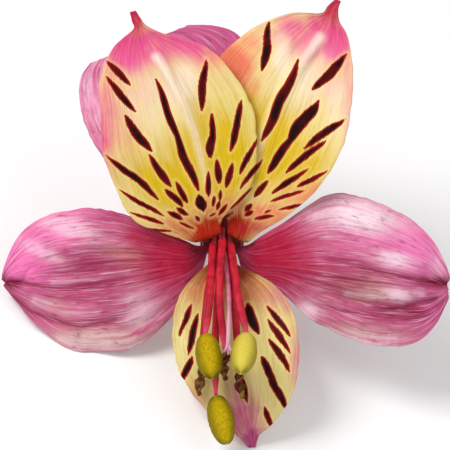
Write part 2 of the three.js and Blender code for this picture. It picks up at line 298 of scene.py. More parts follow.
@dataclass(frozen=True)
class TepalShape:
    """The lie of one tepal: a claw that leans out of the tube, then a blade on bending stations."""

    foot: float
    ring: float
    tip: Point2
    bow: float
    rise: tuple[float, ...]
    left: float
    left_shares: tuple[float, ...]
    right: float
    right_shares: tuple[float, ...]
    roll: Point2
    along: tuple[float, ...]

    def throat(self) -> np.ndarray:
        """Where the blade begins, at the mouth of the tube."""
        return in_tube(self.foot, self.ring + CLAW_FLARE, 1.0)

    def way(self) -> np.ndarray:
        """Direction from the throat to the tip across the face."""
        end = polar(self.tip[0], self.tip[1], CLAW_HEIGHT)
        return (end - self.throat()) / np.linalg.norm(end - self.throat())

    def stations(self) -> np.ndarray:
        """Midrib points, side directions, half widths and blade shares, one row for each station."""
        throat, way = self.throat(), self.way()
        side = np.array([-way[1], way[0], 0.0])
        end = polar(self.tip[0], self.tip[1], CLAW_HEIGHT)
        claw_side = polar(self.foot + 90, 1.0, 0.0)
        rows = []
        for share in (0.0, 0.5):
            point = in_tube(self.foot, self.ring + CLAW_FLARE * share, share)
            rows.append([*point, *claw_side, CLAW_HALF_WIDTH, CLAW_HALF_WIDTH, CLAW_SHARE * (share - 1)])
        for share, rise, left, right in zip(self.along, self.rise, self.left_shares, self.right_shares):
            point = throat + (end - throat) * share + side * self.bow * math.sin(math.pi * share)
            point[2] = CLAW_HEIGHT + rise
            rows.append([*point, *side, self.left * left, self.right * right, share])
        return np.array(rows)

    def even_places(self, count: int) -> np.ndarray:
        """Places along the midrib that are the same distance apart."""
        fine = np.linspace(0.0, 1.0, 400)
        points = smooth_curve(self.stations(), fine)[:, :3]
        run = np.concatenate([[0.0], np.cumsum(np.linalg.norm(np.diff(points, axis=0), axis=1))])
        return np.interp(np.linspace(0.0, 1.0, count), run / run[-1], fine)

    def surface(self, across: np.ndarray, place: np.ndarray, spread: np.ndarray | float = 1.0):
        """Points of the sheet's middle surface.

        Args:
            across: from -1 at the right margin to 1 at the left one.
            place: where along the midrib curve, from 0 to 1.
            spread: what the half widths are multiplied by, for uneven margins.

        Returns:
            The points, the reach from the midrib in millimetres, and the share of the blade.
        """
        row = smooth_curve(self.stations(), place)
        side = row[:, 3:6] / np.linalg.norm(row[:, 3:6], axis=1, keepdims=True)
        half = np.maximum(np.where(across > 0, row[:, 6], row[:, 7]) * spread, SHEET_EDGE)
        reach = across * half
        points = row[:, :3] + side * reach[:, None]
        points[:, 2] += np.where(across > 0, self.roll[0], self.roll[1]) * (reach / ROLL_REACH) ** 2
        return points, reach, row[:, 8]

    def middle(self) -> np.ndarray:
        """Area centre of the plain sheet."""
        columns, rows = 41, 241
        across, place = np.meshgrid(np.linspace(-1, 1, columns), np.linspace(0, 1, rows))
        points = self.surface(across.ravel(), place.ravel())[0].reshape(rows, columns, 3)
        corner, right, up = points[:-1, :-1], points[:-1, 1:], points[1:, :-1]
        area = np.linalg.norm(np.cross(right - corner, up - corner), axis=2)[..., None]
        centre = (points[:-1, :-1] + points[1:, 1:] + right + up) / 4
        return (centre * area).sum((0, 1)) / area.sum()


@dataclass(frozen=True)
class Tepal:
    """One tepal: its shape, and what lies on it."""

    name: str
    node: str
    shape: TepalShape
    slot: str
    patches: tuple[Patch, ...]
    folds: tuple[Fold, ...] = ()
    flecks: tuple[Fleck, ...] = ()
    ruffle: float = 0.3
    furrow: float = 0.1
    crumple: float = 0.04
    seed: int = 1


OUTER_ALONG = (0.06, 0.19, 0.37, 0.55, 0.72, 0.87, 0.955, 1.0)
UPPER_ALONG = (0.0, 0.06, 0.16, 0.3, 0.46, 0.62, 0.77, 0.88, 0.925, 0.965, 1.0)
LOWER_ALONG = (0.06, 0.16, 0.3, 0.46, 0.62, 0.77, 0.88, 0.925, 0.965, 1.0)

TOP_OUTER = TepalShape(
    foot=90, ring=OUTER_RING, tip=(109.7, 33.5), bow=0,
    rise=(-1.3, 0, 2.2, 4.2, 5.4, 5.6, 5.4, 5.2),
    left=14.8, left_shares=(0.16, 0.44, 0.8, 0.95, 1, 0.94, 0.84, 0.7),
    right=14.0, right_shares=(0.16, 0.36, 0.7, 0.92, 1, 0.94, 0.72, 0.47),
    roll=(-1.6, -1.6), along=OUTER_ALONG,
)
LEFT_OUTER = TepalShape(
    foot=210, ring=OUTER_RING, tip=(191.7, 36.0), bow=0,
    rise=(-0.2, 1.0, 2.8, 3.6, 3.2, 2.0, 0.8, -0.2),
    left=12.8, left_shares=(0.34, 0.7, 0.98, 1, 0.89, 0.52, 0.22, 0.03),
    right=10.3, right_shares=(0.34, 0.56, 0.87, 1, 0.98, 0.75, 0.4, 0.04),
    roll=(-2.2, -1.3), along=OUTER_ALONG,
)
RIGHT_OUTER = TepalShape(
    foot=330, ring=OUTER_RING, tip=(-12.0, 37.2), bow=1.0,
    rise=(-0.2, 1.0, 2.8, 3.6, 3.2, 2.2, 1.2, 0.6),
    left=11.4, left_shares=(0.34, 0.6, 1, 0.99, 0.87, 0.63, 0.34, 0.09),
    right=11.5, right_shares=(0.32, 0.4, 0.78, 0.99, 1, 0.87, 0.58, 0.22),
    roll=(-1.3, -2.2), along=OUTER_ALONG,
)
LEFT_INNER = TepalShape(
    foot=150, ring=INNER_RING, tip=(111.6, 38.4), bow=-1.8,
    rise=(1.2, 2.0, 4.0, 6.7, 9.6, 12.0, 13.8, 14.6, 14.6, 14.3, 13.6),
    left=12.9, left_shares=(0.13, 0.42, 0.81, 0.97, 1, 0.88, 0.72, 0.41, 0.09, 0.05, 0.025),
    right=11.8, right_shares=(0.24, 0.3, 0.76, 0.93, 1, 0.92, 0.69, 0.23, 0.08, 0.05, 0.025),
    roll=(1.0, 0.3), along=UPPER_ALONG,
)
RIGHT_INNER = TepalShape(
    foot=30, ring=INNER_RING, tip=(63.9, 41.8), bow=3.0,
    rise=(-0.4, 0, 1.5, 4.4, 7.9, 10.6, 12.6, 13.6, 13.8, 13.6, 13.0),
    left=11.5, left_shares=(0.19, 0.24, 0.52, 0.82, 1, 0.98, 0.78, 0.46, 0.09, 0.065, 0.025),
    right=12.4, right_shares=(0.11, 0.27, 0.58, 0.88, 1, 0.92, 0.68, 0.39, 0.18, 0.065, 0.025),
    roll=(-0.2, 1.0), along=UPPER_ALONG,
)
LOWER_INNER = TepalShape(
    foot=270, ring=INNER_RING, tip=(278.2, 34.1), bow=0,
    rise=(1.5, 3.0, 5.0, 6.4, 6.6, 6.0, 5.0, 4.4, 4.0, 3.4),
    left=10.2, left_shares=(0.55, 0.84, 1, 0.99, 0.9, 0.7, 0.39, 0.16, 0.08, 0.04),
    right=9.7, right_shares=(0.66, 0.86, 0.98, 1, 0.86, 0.6, 0.31, 0.19, 0.1, 0.04),
    roll=(0.8, 0.8), along=LOWER_ALONG,
)

SEAM_FLECKS = (
    Fleck((3.2, 21.8), (1.4, 13.9), 1.25),
    Fleck((5.6, 15.8), (2.9, 10.2), 1.0),
    Fleck((6.4, 12.5), (3.0, 7.8), 0.9),
    Fleck((4.9, 8.0), (1.4, 4.6), 0.5),
    Fleck((1.9, 4.0), (-0.1, 2.8), 0.4),
)
LEFT_INNER_FLECKS = SEAM_FLECKS + (
    Fleck((-10.5, 25.0), (-6.6, 14.4), 1.25, 0.45),
    Fleck((-7.7, 17.0), (-3.9, 7.7), 1.4, 0.4),
    Fleck((-18.2, 28.0), (-14.7, 24.2), 1.15),
    Fleck((-18.4, 25.4), (-13.8, 20.0), 1.15),
    Fleck((-15.4, 19.2), (-11.4, 13.8), 1.6, 0.45),
    Fleck((-18.4, 13.1), (-10.2, 6.2), 1.15),
    Fleck((-16.6, 7.5), (-9.3, 3.4), 0.8),
    Fleck((-14.6, 4.0), (-9.3, 2.1), 0.7),
    Fleck((-12.6, 1.4), (-8.2, 1.0), 0.5),
    Fleck((-11.7, 13.1), (-8.3, 8.2), 1.35, 0.45),
    Fleck((-9.0, 7.7), (-6.4, 5.0), 1.15),
    Fleck((-7.4, 9.0), (-5.6, 5.6), 1.0),
    Fleck((-3.6, 6.9), (-3.1, 4.2), 2.1, 0.8),
    Fleck((-2.6, 28.4), (-3.3, 20.2), 1.35),
    Fleck((-1.5, 19.6), (-1.7, 12.8), 1.2, 0.45),
    Fleck((-1.9, 16.4), (-1.9, 13.0), 1.5, 0.5),
    Fleck((1.6, 11.9), (0.8, 8.0), 1.15),
    Fleck((-0.7, 12.4), (-0.6, 8.8), 1.3, 0.45),
    Fleck((-2.3, 10.7), (-2.1, 6.7), 0.8),
    Fleck((-1.3, 6.6), (-1.5, 5.0), 0.6),
    Fleck((-0.2, 7.6), (-0.4, 6.0), 0.65),
    Fleck((-0.4, 5.9), (-0.9, 4.5), 0.65),
    Fleck((0.8, 5.3), (-0.6, 3.6), 0.6),
    Fleck((-7.2, 4.8), (-5.5, 3.6), 0.85),
    Fleck((-8.7, 4.1), (-6.5, 2.9), 1.0),
    Fleck((-4.3, 3.4), (-3.7, 2.7), 0.55),
    Fleck((-1.0, 3.9), (-2.1, 3.3), 0.4),
    Fleck((-6.9, 2.4), (-4.5, 1.4), 0.5),
)
RIGHT_INNER_FLECKS = SEAM_FLECKS + (
    Fleck((7.6, 34.0), (6.5, 26.6), 1.45),
    Fleck((12.3, 28.1), (6.5, 15.6), 1.6, 0.5),
    Fleck((15.3, 21.7), (10.6, 15.2), 2.1, 0.5),
    Fleck((11.6, 16.4), (7.3, 10.4), 1.55, 0.5),
    Fleck((19.9, 28.9), (14.6, 23.5), 1.6),
    Fleck((19.6, 18.9), (13.1, 14.3), 1.3),
    Fleck((16.4, 15.4), (10.3, 10.5), 1.2),
    Fleck((13.8, 11.0), (8.2, 7.1), 1.0),
    Fleck((16.9, 10.6), (12.1, 8.1), 0.85),
    Fleck((13.4, 7.5), (7.8, 5.8), 0.7),
    Fleck((13.0, 5.3), (9.2, 4.4), 0.6),
    Fleck((7.4, 9.0), (5.2, 6.6), 1.0),
    Fleck((4.8, 5.4), (3.8, 4.3), 0.85),
    Fleck((5.0, 4.2), (3.7, 3.4), 0.75),
    Fleck((7.9, 4.4), (6.9, 4.0), 0.45),
    Fleck((8.4, 3.4), (5.3, 3.0), 0.7),
)
LOWER_INNER_FLECKS = (
    Fleck((-6.7, -15.8), (-5.0, -10.8), 0.95),
    Fleck((-5.6, -18.8), (-3.8, -12.4), 1.15),
    Fleck((-6.4, -23.1), (-4.9, -19.2), 1.25),
    Fleck((5.7, -15.4), (4.2, -10.9), 1.75, 0.45),
    Fleck((10.9, -15.8), (7.4, -11.1), 0.95),
    Fleck((10.8, -18.5), (7.5, -13.2), 1.05),
    Fleck((10.8, -21.4), (7.7, -16.4), 1.15),
    Fleck((8.9, -24.0), (6.3, -19.3), 1.35, 0.45),
    Fleck((10.2, -27.3), (7.6, -22.4), 1.45, 0.5),
    Fleck((8.2, -30.7), (6.7, -27.1), 0.95),
    Fleck((4.1, -26.5), (3.2, -22.5), 0.95),
)

# Pale patches and crests are painted highlights on partly paler tissue; ember patches by the throat add
# painted shade to the claws' own red; deep patches along the outer tepals' creases are partly painted
# crease shade.
TEPALS = (
    Tepal(
        name="petal_outer_top", node="outer_tepal_top", shape=TOP_OUTER, slot="outer_tepal",
        patches=(
            Patch(BLUSH, (-2, 24), (24, 24), 0.5),
            Patch(SALMON, (-1, 31), (7, 4.0), 0.55),
            Patch(PALE_HIGHLIGHT, (-20, 24), (3.5, 8), 0.35),
            Patch(EMBER_AND_THROAT_SHADE, (-1, 2), (6, 7), 0.9),
        ),
        folds=(Fold(((-0.6, 6), (-5, 18), (-10.5, 31)), 1.4, (-0.3, -0.4)),),
        ruffle=0.35, furrow=0.09, seed=11,
    ),
    Tepal(
        name="petal_outer_left", node="outer_tepal_left", shape=LEFT_OUTER, slot="outer_tepal",
        patches=(
            Patch(BLUSH, (-32.2, -3.0), (4.5, 5), 0.95),
            Patch(BLUSH, (-27, 1.6), (5, 3.2), 0.75),
            Patch(BLUSH, (-22, 4.6), (6, 1.4), 0.45),
            Patch(PALE_HIGHLIGHT, (-24.6, 1.6), (5, 1.7), 0.5, -20),
            Patch(SALMON, (-17.0, 3.9), (3.2, 1.3), 0.7, -6),
            Patch(PALE_HIGHLIGHT, (-29, -2.2), (3.5, 1.0), 0.4, -25),
            Patch(SALMON, (-22, -6.2), (8.5, 4.2), 0.85),
            Patch(SALMON, (-17, -9.6), (5, 3.4), 0.6),
            Patch(GOLD, (-16, -3.0), (3.6, 1.7), 0.7, -8),
            Patch(GOLD, (-26.5, -11.0), (3.6, 1.2), 0.5, -15),
            Patch(PALE_HIGHLIGHT, (-13, -11.6), (2.8, 3.0), 0.5),
            Patch(PALE_HIGHLIGHT, (-20, -16.8), (8, 1.6), 0.45),
            Patch(EMBER_AND_THROAT_SHADE, (-8.0, -3.4), (5.4, 5), 1.0),
            Patch(EMBER_AND_THROAT_SHADE, (-12, -0.2), (4.0, 2.8), 0.75, -20),
            Patch(SALMON, (-19.5, 0.6), (5.0, 1.0), 0.6, -8),
            Patch(GOLD, (-22.0, -4.2), (5.0, 0.9), 0.6, -6),
            Patch(GOLD, (-20.5, -16.4), (8.0, 1.6), 0.85),
            Patch(SALMON, (-30.0, -9.6), (3.4, 1.6), 0.7, -18),
            Patch(DEEP_AND_CREASE_SHADE, (-34.4, -7.5), (2.2, 1.3), 0.95, -5),
        ),
        # Furrows darkened along their bottoms, partly the tissue's own crease lines and partly painted
        # crease shade, and ridges lightened along their crests with painted highlight.
        folds=(
            Fold(((-35.6, -7.4), (-31.5, -7.5), (-25.9, -8.5), (-19.5, -8.2), (-13.1, -6.1)),
                 0.8, (-0.9, 0.0), DEEP_AND_CREASE_SHADE, (1.0, 0.05), 0.45),
            Fold(((-32.5, -7.3), (-31, -4.9), (-27, -2.9), (-21, -2.2), (-15, -2.0)),
                 0.7, (-0.5, -0.1), DEEP_AND_CREASE_SHADE, (0.4, 0.05), 0.35),
            Fold(((-34.4, -9.0), (-30.7, -12.0), (-27.2, -13.4), (-22.7, -14.6), (-17.9, -13.6),
                  (-13.9, -11.4)), 0.65, (-0.8, -0.2), DEEP_AND_CREASE_SHADE, (0.95, 0.3), 0.5),
            Fold(((-30, -10.2), (-25, -11.8), (-20, -11.8)), 0.9, (0.3, 0.2), PALE_HIGHLIGHT, (0.4, 0.2), 0.7),
            Fold(((-30, -5.8), (-24, -5.6), (-17, -4.8)), 0.6, (-0.35, -0.1), DEEP_AND_CREASE_SHADE, (0.35, 0.1), 0.3),
            Fold(((-28, -9.6), (-22, -10.0), (-16, -8.6)), 0.6, (-0.35, -0.1), DEEP_AND_CREASE_SHADE, (0.35, 0.15), 0.3),
            Fold(((-27, -7.1), (-21, -6.6), (-15, -5.6)), 0.6, (0.25, 0.1), PALE_HIGHLIGHT, (0.35, 0.15), 0.4),
        ),
        ruffle=0.45, furrow=0.22, crumple=0.08, seed=12,
    ),
    Tepal(
        name="petal_outer_right", node="outer_tepal_right", shape=RIGHT_OUTER, slot="outer_tepal",
        patches=(
            Patch(BLUSH, (31.5, -1.4), (5, 4.5), 0.9),
            Patch(BLUSH, (25, 0.2), (5, 2.2), 0.6),
            Patch(BLUSH, (34.5, -4.6), (2, 3.0), 0.9),
            Patch(BLUSH, (34, -12), (2.6, 2.4), 0.6),
            Patch(PALE_HIGHLIGHT, (22, 3.4), (6, 2.4), 0.9, -10),
            Patch(PALE_HIGHLIGHT, (16, 3.8), (3, 1.8), 0.55),
            Patch(PALE_HIGHLIGHT, (27.5, -3.5), (3, 1.1), 0.75, -10),
            Patch(PALE_HIGHLIGHT, (28.2, -9.2), (2.4, 0.9), 0.6, -10),
            Patch(SALMON, (16.5, -7), (6, 4), 0.65),
            Patch(SALMON, (25, -12.2), (6, 1.5), 0.6),
            Patch(SALMON, (32, -11), (3, 2.2), 0.7),
            Patch(GOLD, (21.5, -8.2), (5, 2.1), 0.75, -8),
            Patch(PALE_HIGHLIGHT, (13.5, -12.2), (2.0, 1.9), 0.8),
            Patch(PALE_HIGHLIGHT, (21, -16.4), (7, 1.7), 0.5, -5),
            Patch(GOLD, (20, -15.4), (7, 1.6), 0.6),
            Patch(EMBER_AND_THROAT_SHADE, (8.5, -3), (5.8, 5), 1.0),
            Patch(EMBER_AND_THROAT_SHADE, (12.5, -4.6), (3.4, 2.6), 0.6),
            Patch(DEEP_AND_CREASE_SHADE, (29.0, -12.0), (4.8, 1.2), 0.75, -4),
            Patch(PALE_HIGHLIGHT, (34.8, -4.2), (1.4, 2.6), 0.4),
            Patch(DEEP_AND_CREASE_SHADE, (33.6, -10.4), (2.4, 1.5), 0.45, -12),
            Patch(SALMON, (20.0, -4.8), (5.0, 1.2), 0.5, -8),
            Patch(EMBER_AND_THROAT_SHADE, (10.5, 1.4), (3, 1.6), 0.6),
            Patch(DEEP_AND_CREASE_SHADE, (34.5, -7.4), (4.4, 1.1), 0.9, -5),
        ),
        # Furrows darkened along their bottoms, partly the tissue's own crease lines and partly painted
        # crease shade, and ridges lightened along their crests with painted highlight.
        folds=(
            Fold(((36.8, -7.6), (31.7, -6.8), (26.1, -5.7), (20.5, -4.5), (16.5, -3.6)),
                 0.8, (-1.0, -0.2), DEEP_AND_CREASE_SHADE, (1.0, 0.45), 0.55),
            Fold(((34.4, -9.9), (29.3, -11.5), (23.7, -12.3), (18.1, -12.0), (14.1, -10.6)),
                 0.7, (-0.8, -0.3), SALMON, (0.9, 0.6), 0.5),
            Fold(((31, -4.6), (25, -3.4), (19.5, -2.2)), 0.9, (0.35, 0.15)),
            Fold(((32, -9.2), (26, -9.4), (20, -9.0)), 1.0, (0.35, 0.15), PALE_HIGHLIGHT, (0.45, 0.2), 0.7),
            Fold(((33, -8.2), (26, -7.4), (19, -6.6)), 0.6, (-0.35, -0.1), DEEP_AND_CREASE_SHADE, (0.4, 0.1), 0.3),
            Fold(((31, -10.6), (24, -10.6), (17, -9.4)), 0.6, (-0.3, -0.1), DEEP_AND_CREASE_SHADE, (0.3, 0.1), 0.3),
        ),
        ruffle=0.45, furrow=0.22, crumple=0.08, seed=13,
    ),
    Tepal(
        name="petal_inner_left", node="inner_tepal_upper_left", shape=LEFT_INNER, slot="inner_tepal",
        patches=(
            Patch(GOLD, (-2, 13), (7.0, 7.4), 1.3),
            Patch(GOLD, (-8.5, 8.6), (6.2, 4.2), 1.15, -25),
            Patch(PALE_HIGHLIGHT, (-10.5, 21.5), (5.5, 5.0), 0.4),
            Patch(BLUSH, (-12.0, 26.0), (6.5, 4.5), 0.3),
            Patch(SALMON, (-2.0, 28.3), (2.4, 1.8), 0.55),
            Patch(SALMON, (-15.5, 18.5), (3.0, 4.5), 0.45),
            Patch(SALMON, (-7.0, 2.0), (4.0, 1.6), 0.55),
            Patch(BLUSH, (-14.7, 29.6), (4.0, 3.8), 1.1),
            Patch(BLUSH, (-11.0, 30.4), (4.2, 3.4), 0.95),
            Patch(SALMON, (-17.4, 22.5), (1.8, 5.0), 0.5),
            Patch(BLUSH, (-5.9, 30.8), (4.6, 2.7), 0.95, -20),
            Patch(BLUSH, (-19.0, 18.0), (2.0, 7), 0.75),
            Patch(SALMON, (-14.2, 22.0), (3.0, 2.6), 0.35),
            Patch(SALMON, (0.4, 4.4), (3.4, 1.8), 0.6),
            Patch(PALE_HIGHLIGHT, (-5.9, 24.8), (2.2, 3.0), 0.55),
            Patch(PALE_HIGHLIGHT, (-11.3, 23.2), (1.8, 3.0), 0.4),
            Patch(EMBER_AND_THROAT_SHADE, (-1.8, 0.8), (4.6, 3.0), 1.1),
            Patch(EMBER_AND_THROAT_SHADE, (-1.2, 3.4), (3.0, 2.4), 0.5),
            Patch(DEEP_AND_CREASE_SHADE, (-14.0, 34.6), (2.0, 2.6), 1.1),
        ),
        # The midrib ridge is lightened along its crest: paler tissue with a painted highlight.
        folds=(
            Fold(((-10.4, 28.6), (-9.1, 26.7), (-6.4, 21.9), (-4.3, 16.3), (-3.0, 11.5), (-2, 7)),
                 0.9, (0.55, 0.1), PALE_HIGHLIGHT, (0.75, 0.25), 0.75),
            Fold(((-11.6, 28.4), (-9.0, 22.8), (-7.0, 17.5), (-5.2, 12.5)), 0.9, (-0.3, -0.15)),
            Fold(((-7.4, 27.6), (-4.4, 22.2), (-2.6, 16.5)), 0.8, (-0.25, -0.15)),
        ),
        flecks=LEFT_INNER_FLECKS, ruffle=0.2, furrow=0.07, seed=14,
    ),
    Tepal(
        name="petal_inner_right", node="inner_tepal_upper_right", shape=RIGHT_INNER, slot="inner_tepal",
        patches=(
            Patch(GOLD, (6.5, 14.5), (6, 6.5), 1.3),
            Patch(GOLD, (4.0, 20.5), (2.6, 4), 1.0),
            Patch(GOLD, (12, 12), (5, 4.5), 1.0),
            Patch(PALE_HIGHLIGHT, (13.0, 25.5), (5.0, 4.5), 0.4),
            Patch(BLUSH, (17.5, 26.5), (3.4, 5.0), 0.4),
            Patch(BLUSH, (9.5, 32.0), (3.2, 2.4), 0.5),
            Patch(SALMON, (1.6, 27), (3.2, 4.1), 1.15),
            Patch(SALMON, (4.2, 31.0), (2.2, 1.7), 0.6),
            Patch(SALMON, (4.2, 24.8), (1.8, 2.2), 0.6),
            Patch(BLUSH, (20.4, 21), (1.4, 7), 0.55),
            Patch(PALE_HIGHLIGHT, (18.4, 21), (2.0, 5), 0.4),
            Patch(SALMON, (14.5, 6.4), (4.6, 2.2), 0.75, 15),
            Patch(SALMON, (7, 3.6), (4.2, 1.7), 0.9),
            Patch(SALMON, (2.4, 4.4), (2.6, 1.8), 0.6),
            Patch(BLUSH, (14.0, 31.0), (3.8, 3.4), 0.85),
            Patch(BLUSH, (11.4, 33.2), (2.8, 2), 0.85),
            Patch(BLUSH, (17.9, 31.0), (2.8, 3.8), 1.1),
            Patch(BLUSH, (15.4, 33.4), (3.0, 2.2), 0.9),
            Patch(BLUSH, (20.0, 26), (1.3, 3.4), 0.5),
            Patch(PALE_HIGHLIGHT, (9.5, 28.6), (1.5, 3.2), 0.6),
            Patch(EMBER_AND_THROAT_SHADE, (2.0, 1.4), (3.4, 2.8), 1.1),
            Patch(EMBER_AND_THROAT_SHADE, (2.2, 3.4), (3.0, 2.4), 0.5),
            Patch(DEEP_AND_CREASE_SHADE, (17.8, 36.6), (2.6, 2.8), 1.0),
            Patch(DEEP_AND_CREASE_SHADE, (8.5, 1.4), (5.0, 0.7), 0.6),
        ),
        # The midrib ridge is lightened along its crest: paler tissue with a painted highlight.
        folds=(
            Fold(((15.7, 31.6), (13.2, 28.6), (9.8, 23.4), (7.2, 18.4), (5.2, 12.5)),
                 0.9, (0.55, 0.1), PALE_HIGHLIGHT, (0.75, 0.25), 0.9),
            Fold(((15.6, 29.0), (12.0, 23.2), (9.2, 18.0)), 0.9, (-0.3, -0.15)),
            Fold(((12.0, 30.2), (8.6, 24.8), (6.0, 19.0)), 0.8, (-0.25, -0.15)),
        ),
        flecks=RIGHT_INNER_FLECKS, ruffle=0.2, furrow=0.07, seed=15,
    ),
    Tepal(
        name="petal_inner_lower", node="inner_tepal_lower", shape=LOWER_INNER, slot="inner_tepal_lower",
        patches=(
            Patch(EMBER_AND_THROAT_SHADE, (0.5, -1.8), (6.4, 3.4), 1.1),
            Patch(EMBER_AND_THROAT_SHADE, (0.6, -5.4), (6.2, 2.2), 0.95),
            Patch(SALMON, (1.0, -9.0), (7.5, 3.0), 0.9),
            Patch(BLUSH, (9.8, -9.6), (2.6, 2.4), 0.5),
            Patch(SALMON, (-7.0, -11.5), (1.2, 3.5), 0.4),
            Patch(BLUSH, (3.2, -29), (3.0, 4.6), 0.9),
            Patch(BLUSH, (4.8, -32.4), (2.4, 2.6), 1.15),
            Patch(SALMON, (-5.9, -25.4), (2.2, 3.0), 0.55, 30),
            Patch(BLUSH, (-4.4, -27.4), (1.8, 2.4), 0.5, 30),
            Patch(BLUSH, (11.9, -20), (1.2, 5.0), 0.6),
            Patch(PALE_HIGHLIGHT, (-6.4, -16.5), (0.9, 6), 0.4),
        ),
        folds=(
            Fold(((0.4, -6), (2.0, -16), (3.4, -25), (4.8, -33.5)), 1.2, (-0.3, -0.5)),
            Fold(((5.4, -22), (5.6, -27), (6.0, -31)), 0.8, (0.3, 0.5)),
            Fold(((0.4, -23), (1.6, -28), (4.0, -33)), 0.8, (0.25, 0.5)),
        ),
        flecks=LOWER_INNER_FLECKS, ruffle=0.2, furrow=0.06, seed=16,
    ),
)


# ---------------------------------------------------------------- where the bloom sits


@dataclass(frozen=True)
class Seat:
    """Where the bloom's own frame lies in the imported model's frame."""

    turn: np.ndarray
    shift: np.ndarray

    @classmethod
    def fitted(cls, nodes: dict[str, bpy.types.Object], tepals: Sequence[Tepal]) -> "Seat":
        """Finds the turn and shift that lay the tepals' centres on the CAD nodes' centres.

        Args:
            nodes: the CAD nodes by name.
            tepals: the tepals whose middles are compared.

        Returns:
            The seat of the bloom.
        """
        here = np.array([tepal.shape.middle() for tepal in tepals]) * MM
        there = np.array([cls.centre_of(nodes[tepal.node]) for tepal in tepals])
        here_mean, there_mean = here.mean(0), there.mean(0)
        left, _, right = np.linalg.svd((here - here_mean).T @ (there - there_mean))
        flip = np.diag([1.0, 1.0, np.sign(np.linalg.det(left @ right))])
        turn = (left @ flip @ right).T
        shift = there_mean - turn @ here_mean
        error = np.linalg.norm(here @ turn.T + shift - there, axis=1).max()
        LOG.info("seat of the bloom fits its tepals within %.3f mm", error / MM)
        return cls(turn, shift)

    @staticmethod
    def centre_of(piece: bpy.types.Object) -> np.ndarray:
        """Area centre of a CAD node's mesh."""
        mesh = piece.data
        mesh.calc_loop_triangles()
        points = np.empty(len(mesh.vertices) * 3)
        mesh.vertices.foreach_get("co", points)
        corners = np.empty(len(mesh.loop_triangles) * 3, int)
        mesh.loop_triangles.foreach_get("vertices", corners)
        tri = points.reshape(-1, 3)[corners].reshape(-1, 3, 3)
        area = np.linalg.norm(np.cross(tri[:, 1] - tri[:, 0], tri[:, 2] - tri[:, 0]), axis=1)
        return (tri.mean(1) * area[:, None]).sum(0) / area.sum()

    def carry(self, points: np.ndarray) -> np.ndarray:
        """Points in millimetres of the bloom's frame, as points in metres of the model's frame."""
        return points * MM @ self.turn.T + self.shift

    def face_out(self) -> Vector:
        """Direction out of the throat, in the model's frame."""
        return Vector(self.turn @ np.array([0.0, 0.0, 1.0]))


# ---------------------------------------------------------------- node boards and finishes


def tone(code: int) -> tuple[float, float, float, float]:
    """Linear colour with full cover from a 24-bit display colour."""
    parts = [((code >> step) & 255) / 255 for step in (16, 8, 0)]
    linear = [part / 12.92 if part <= 0.04045 else ((part + 0.055) / 1.055) ** 2.4 for part in parts]
    return (*linear, 1.0)


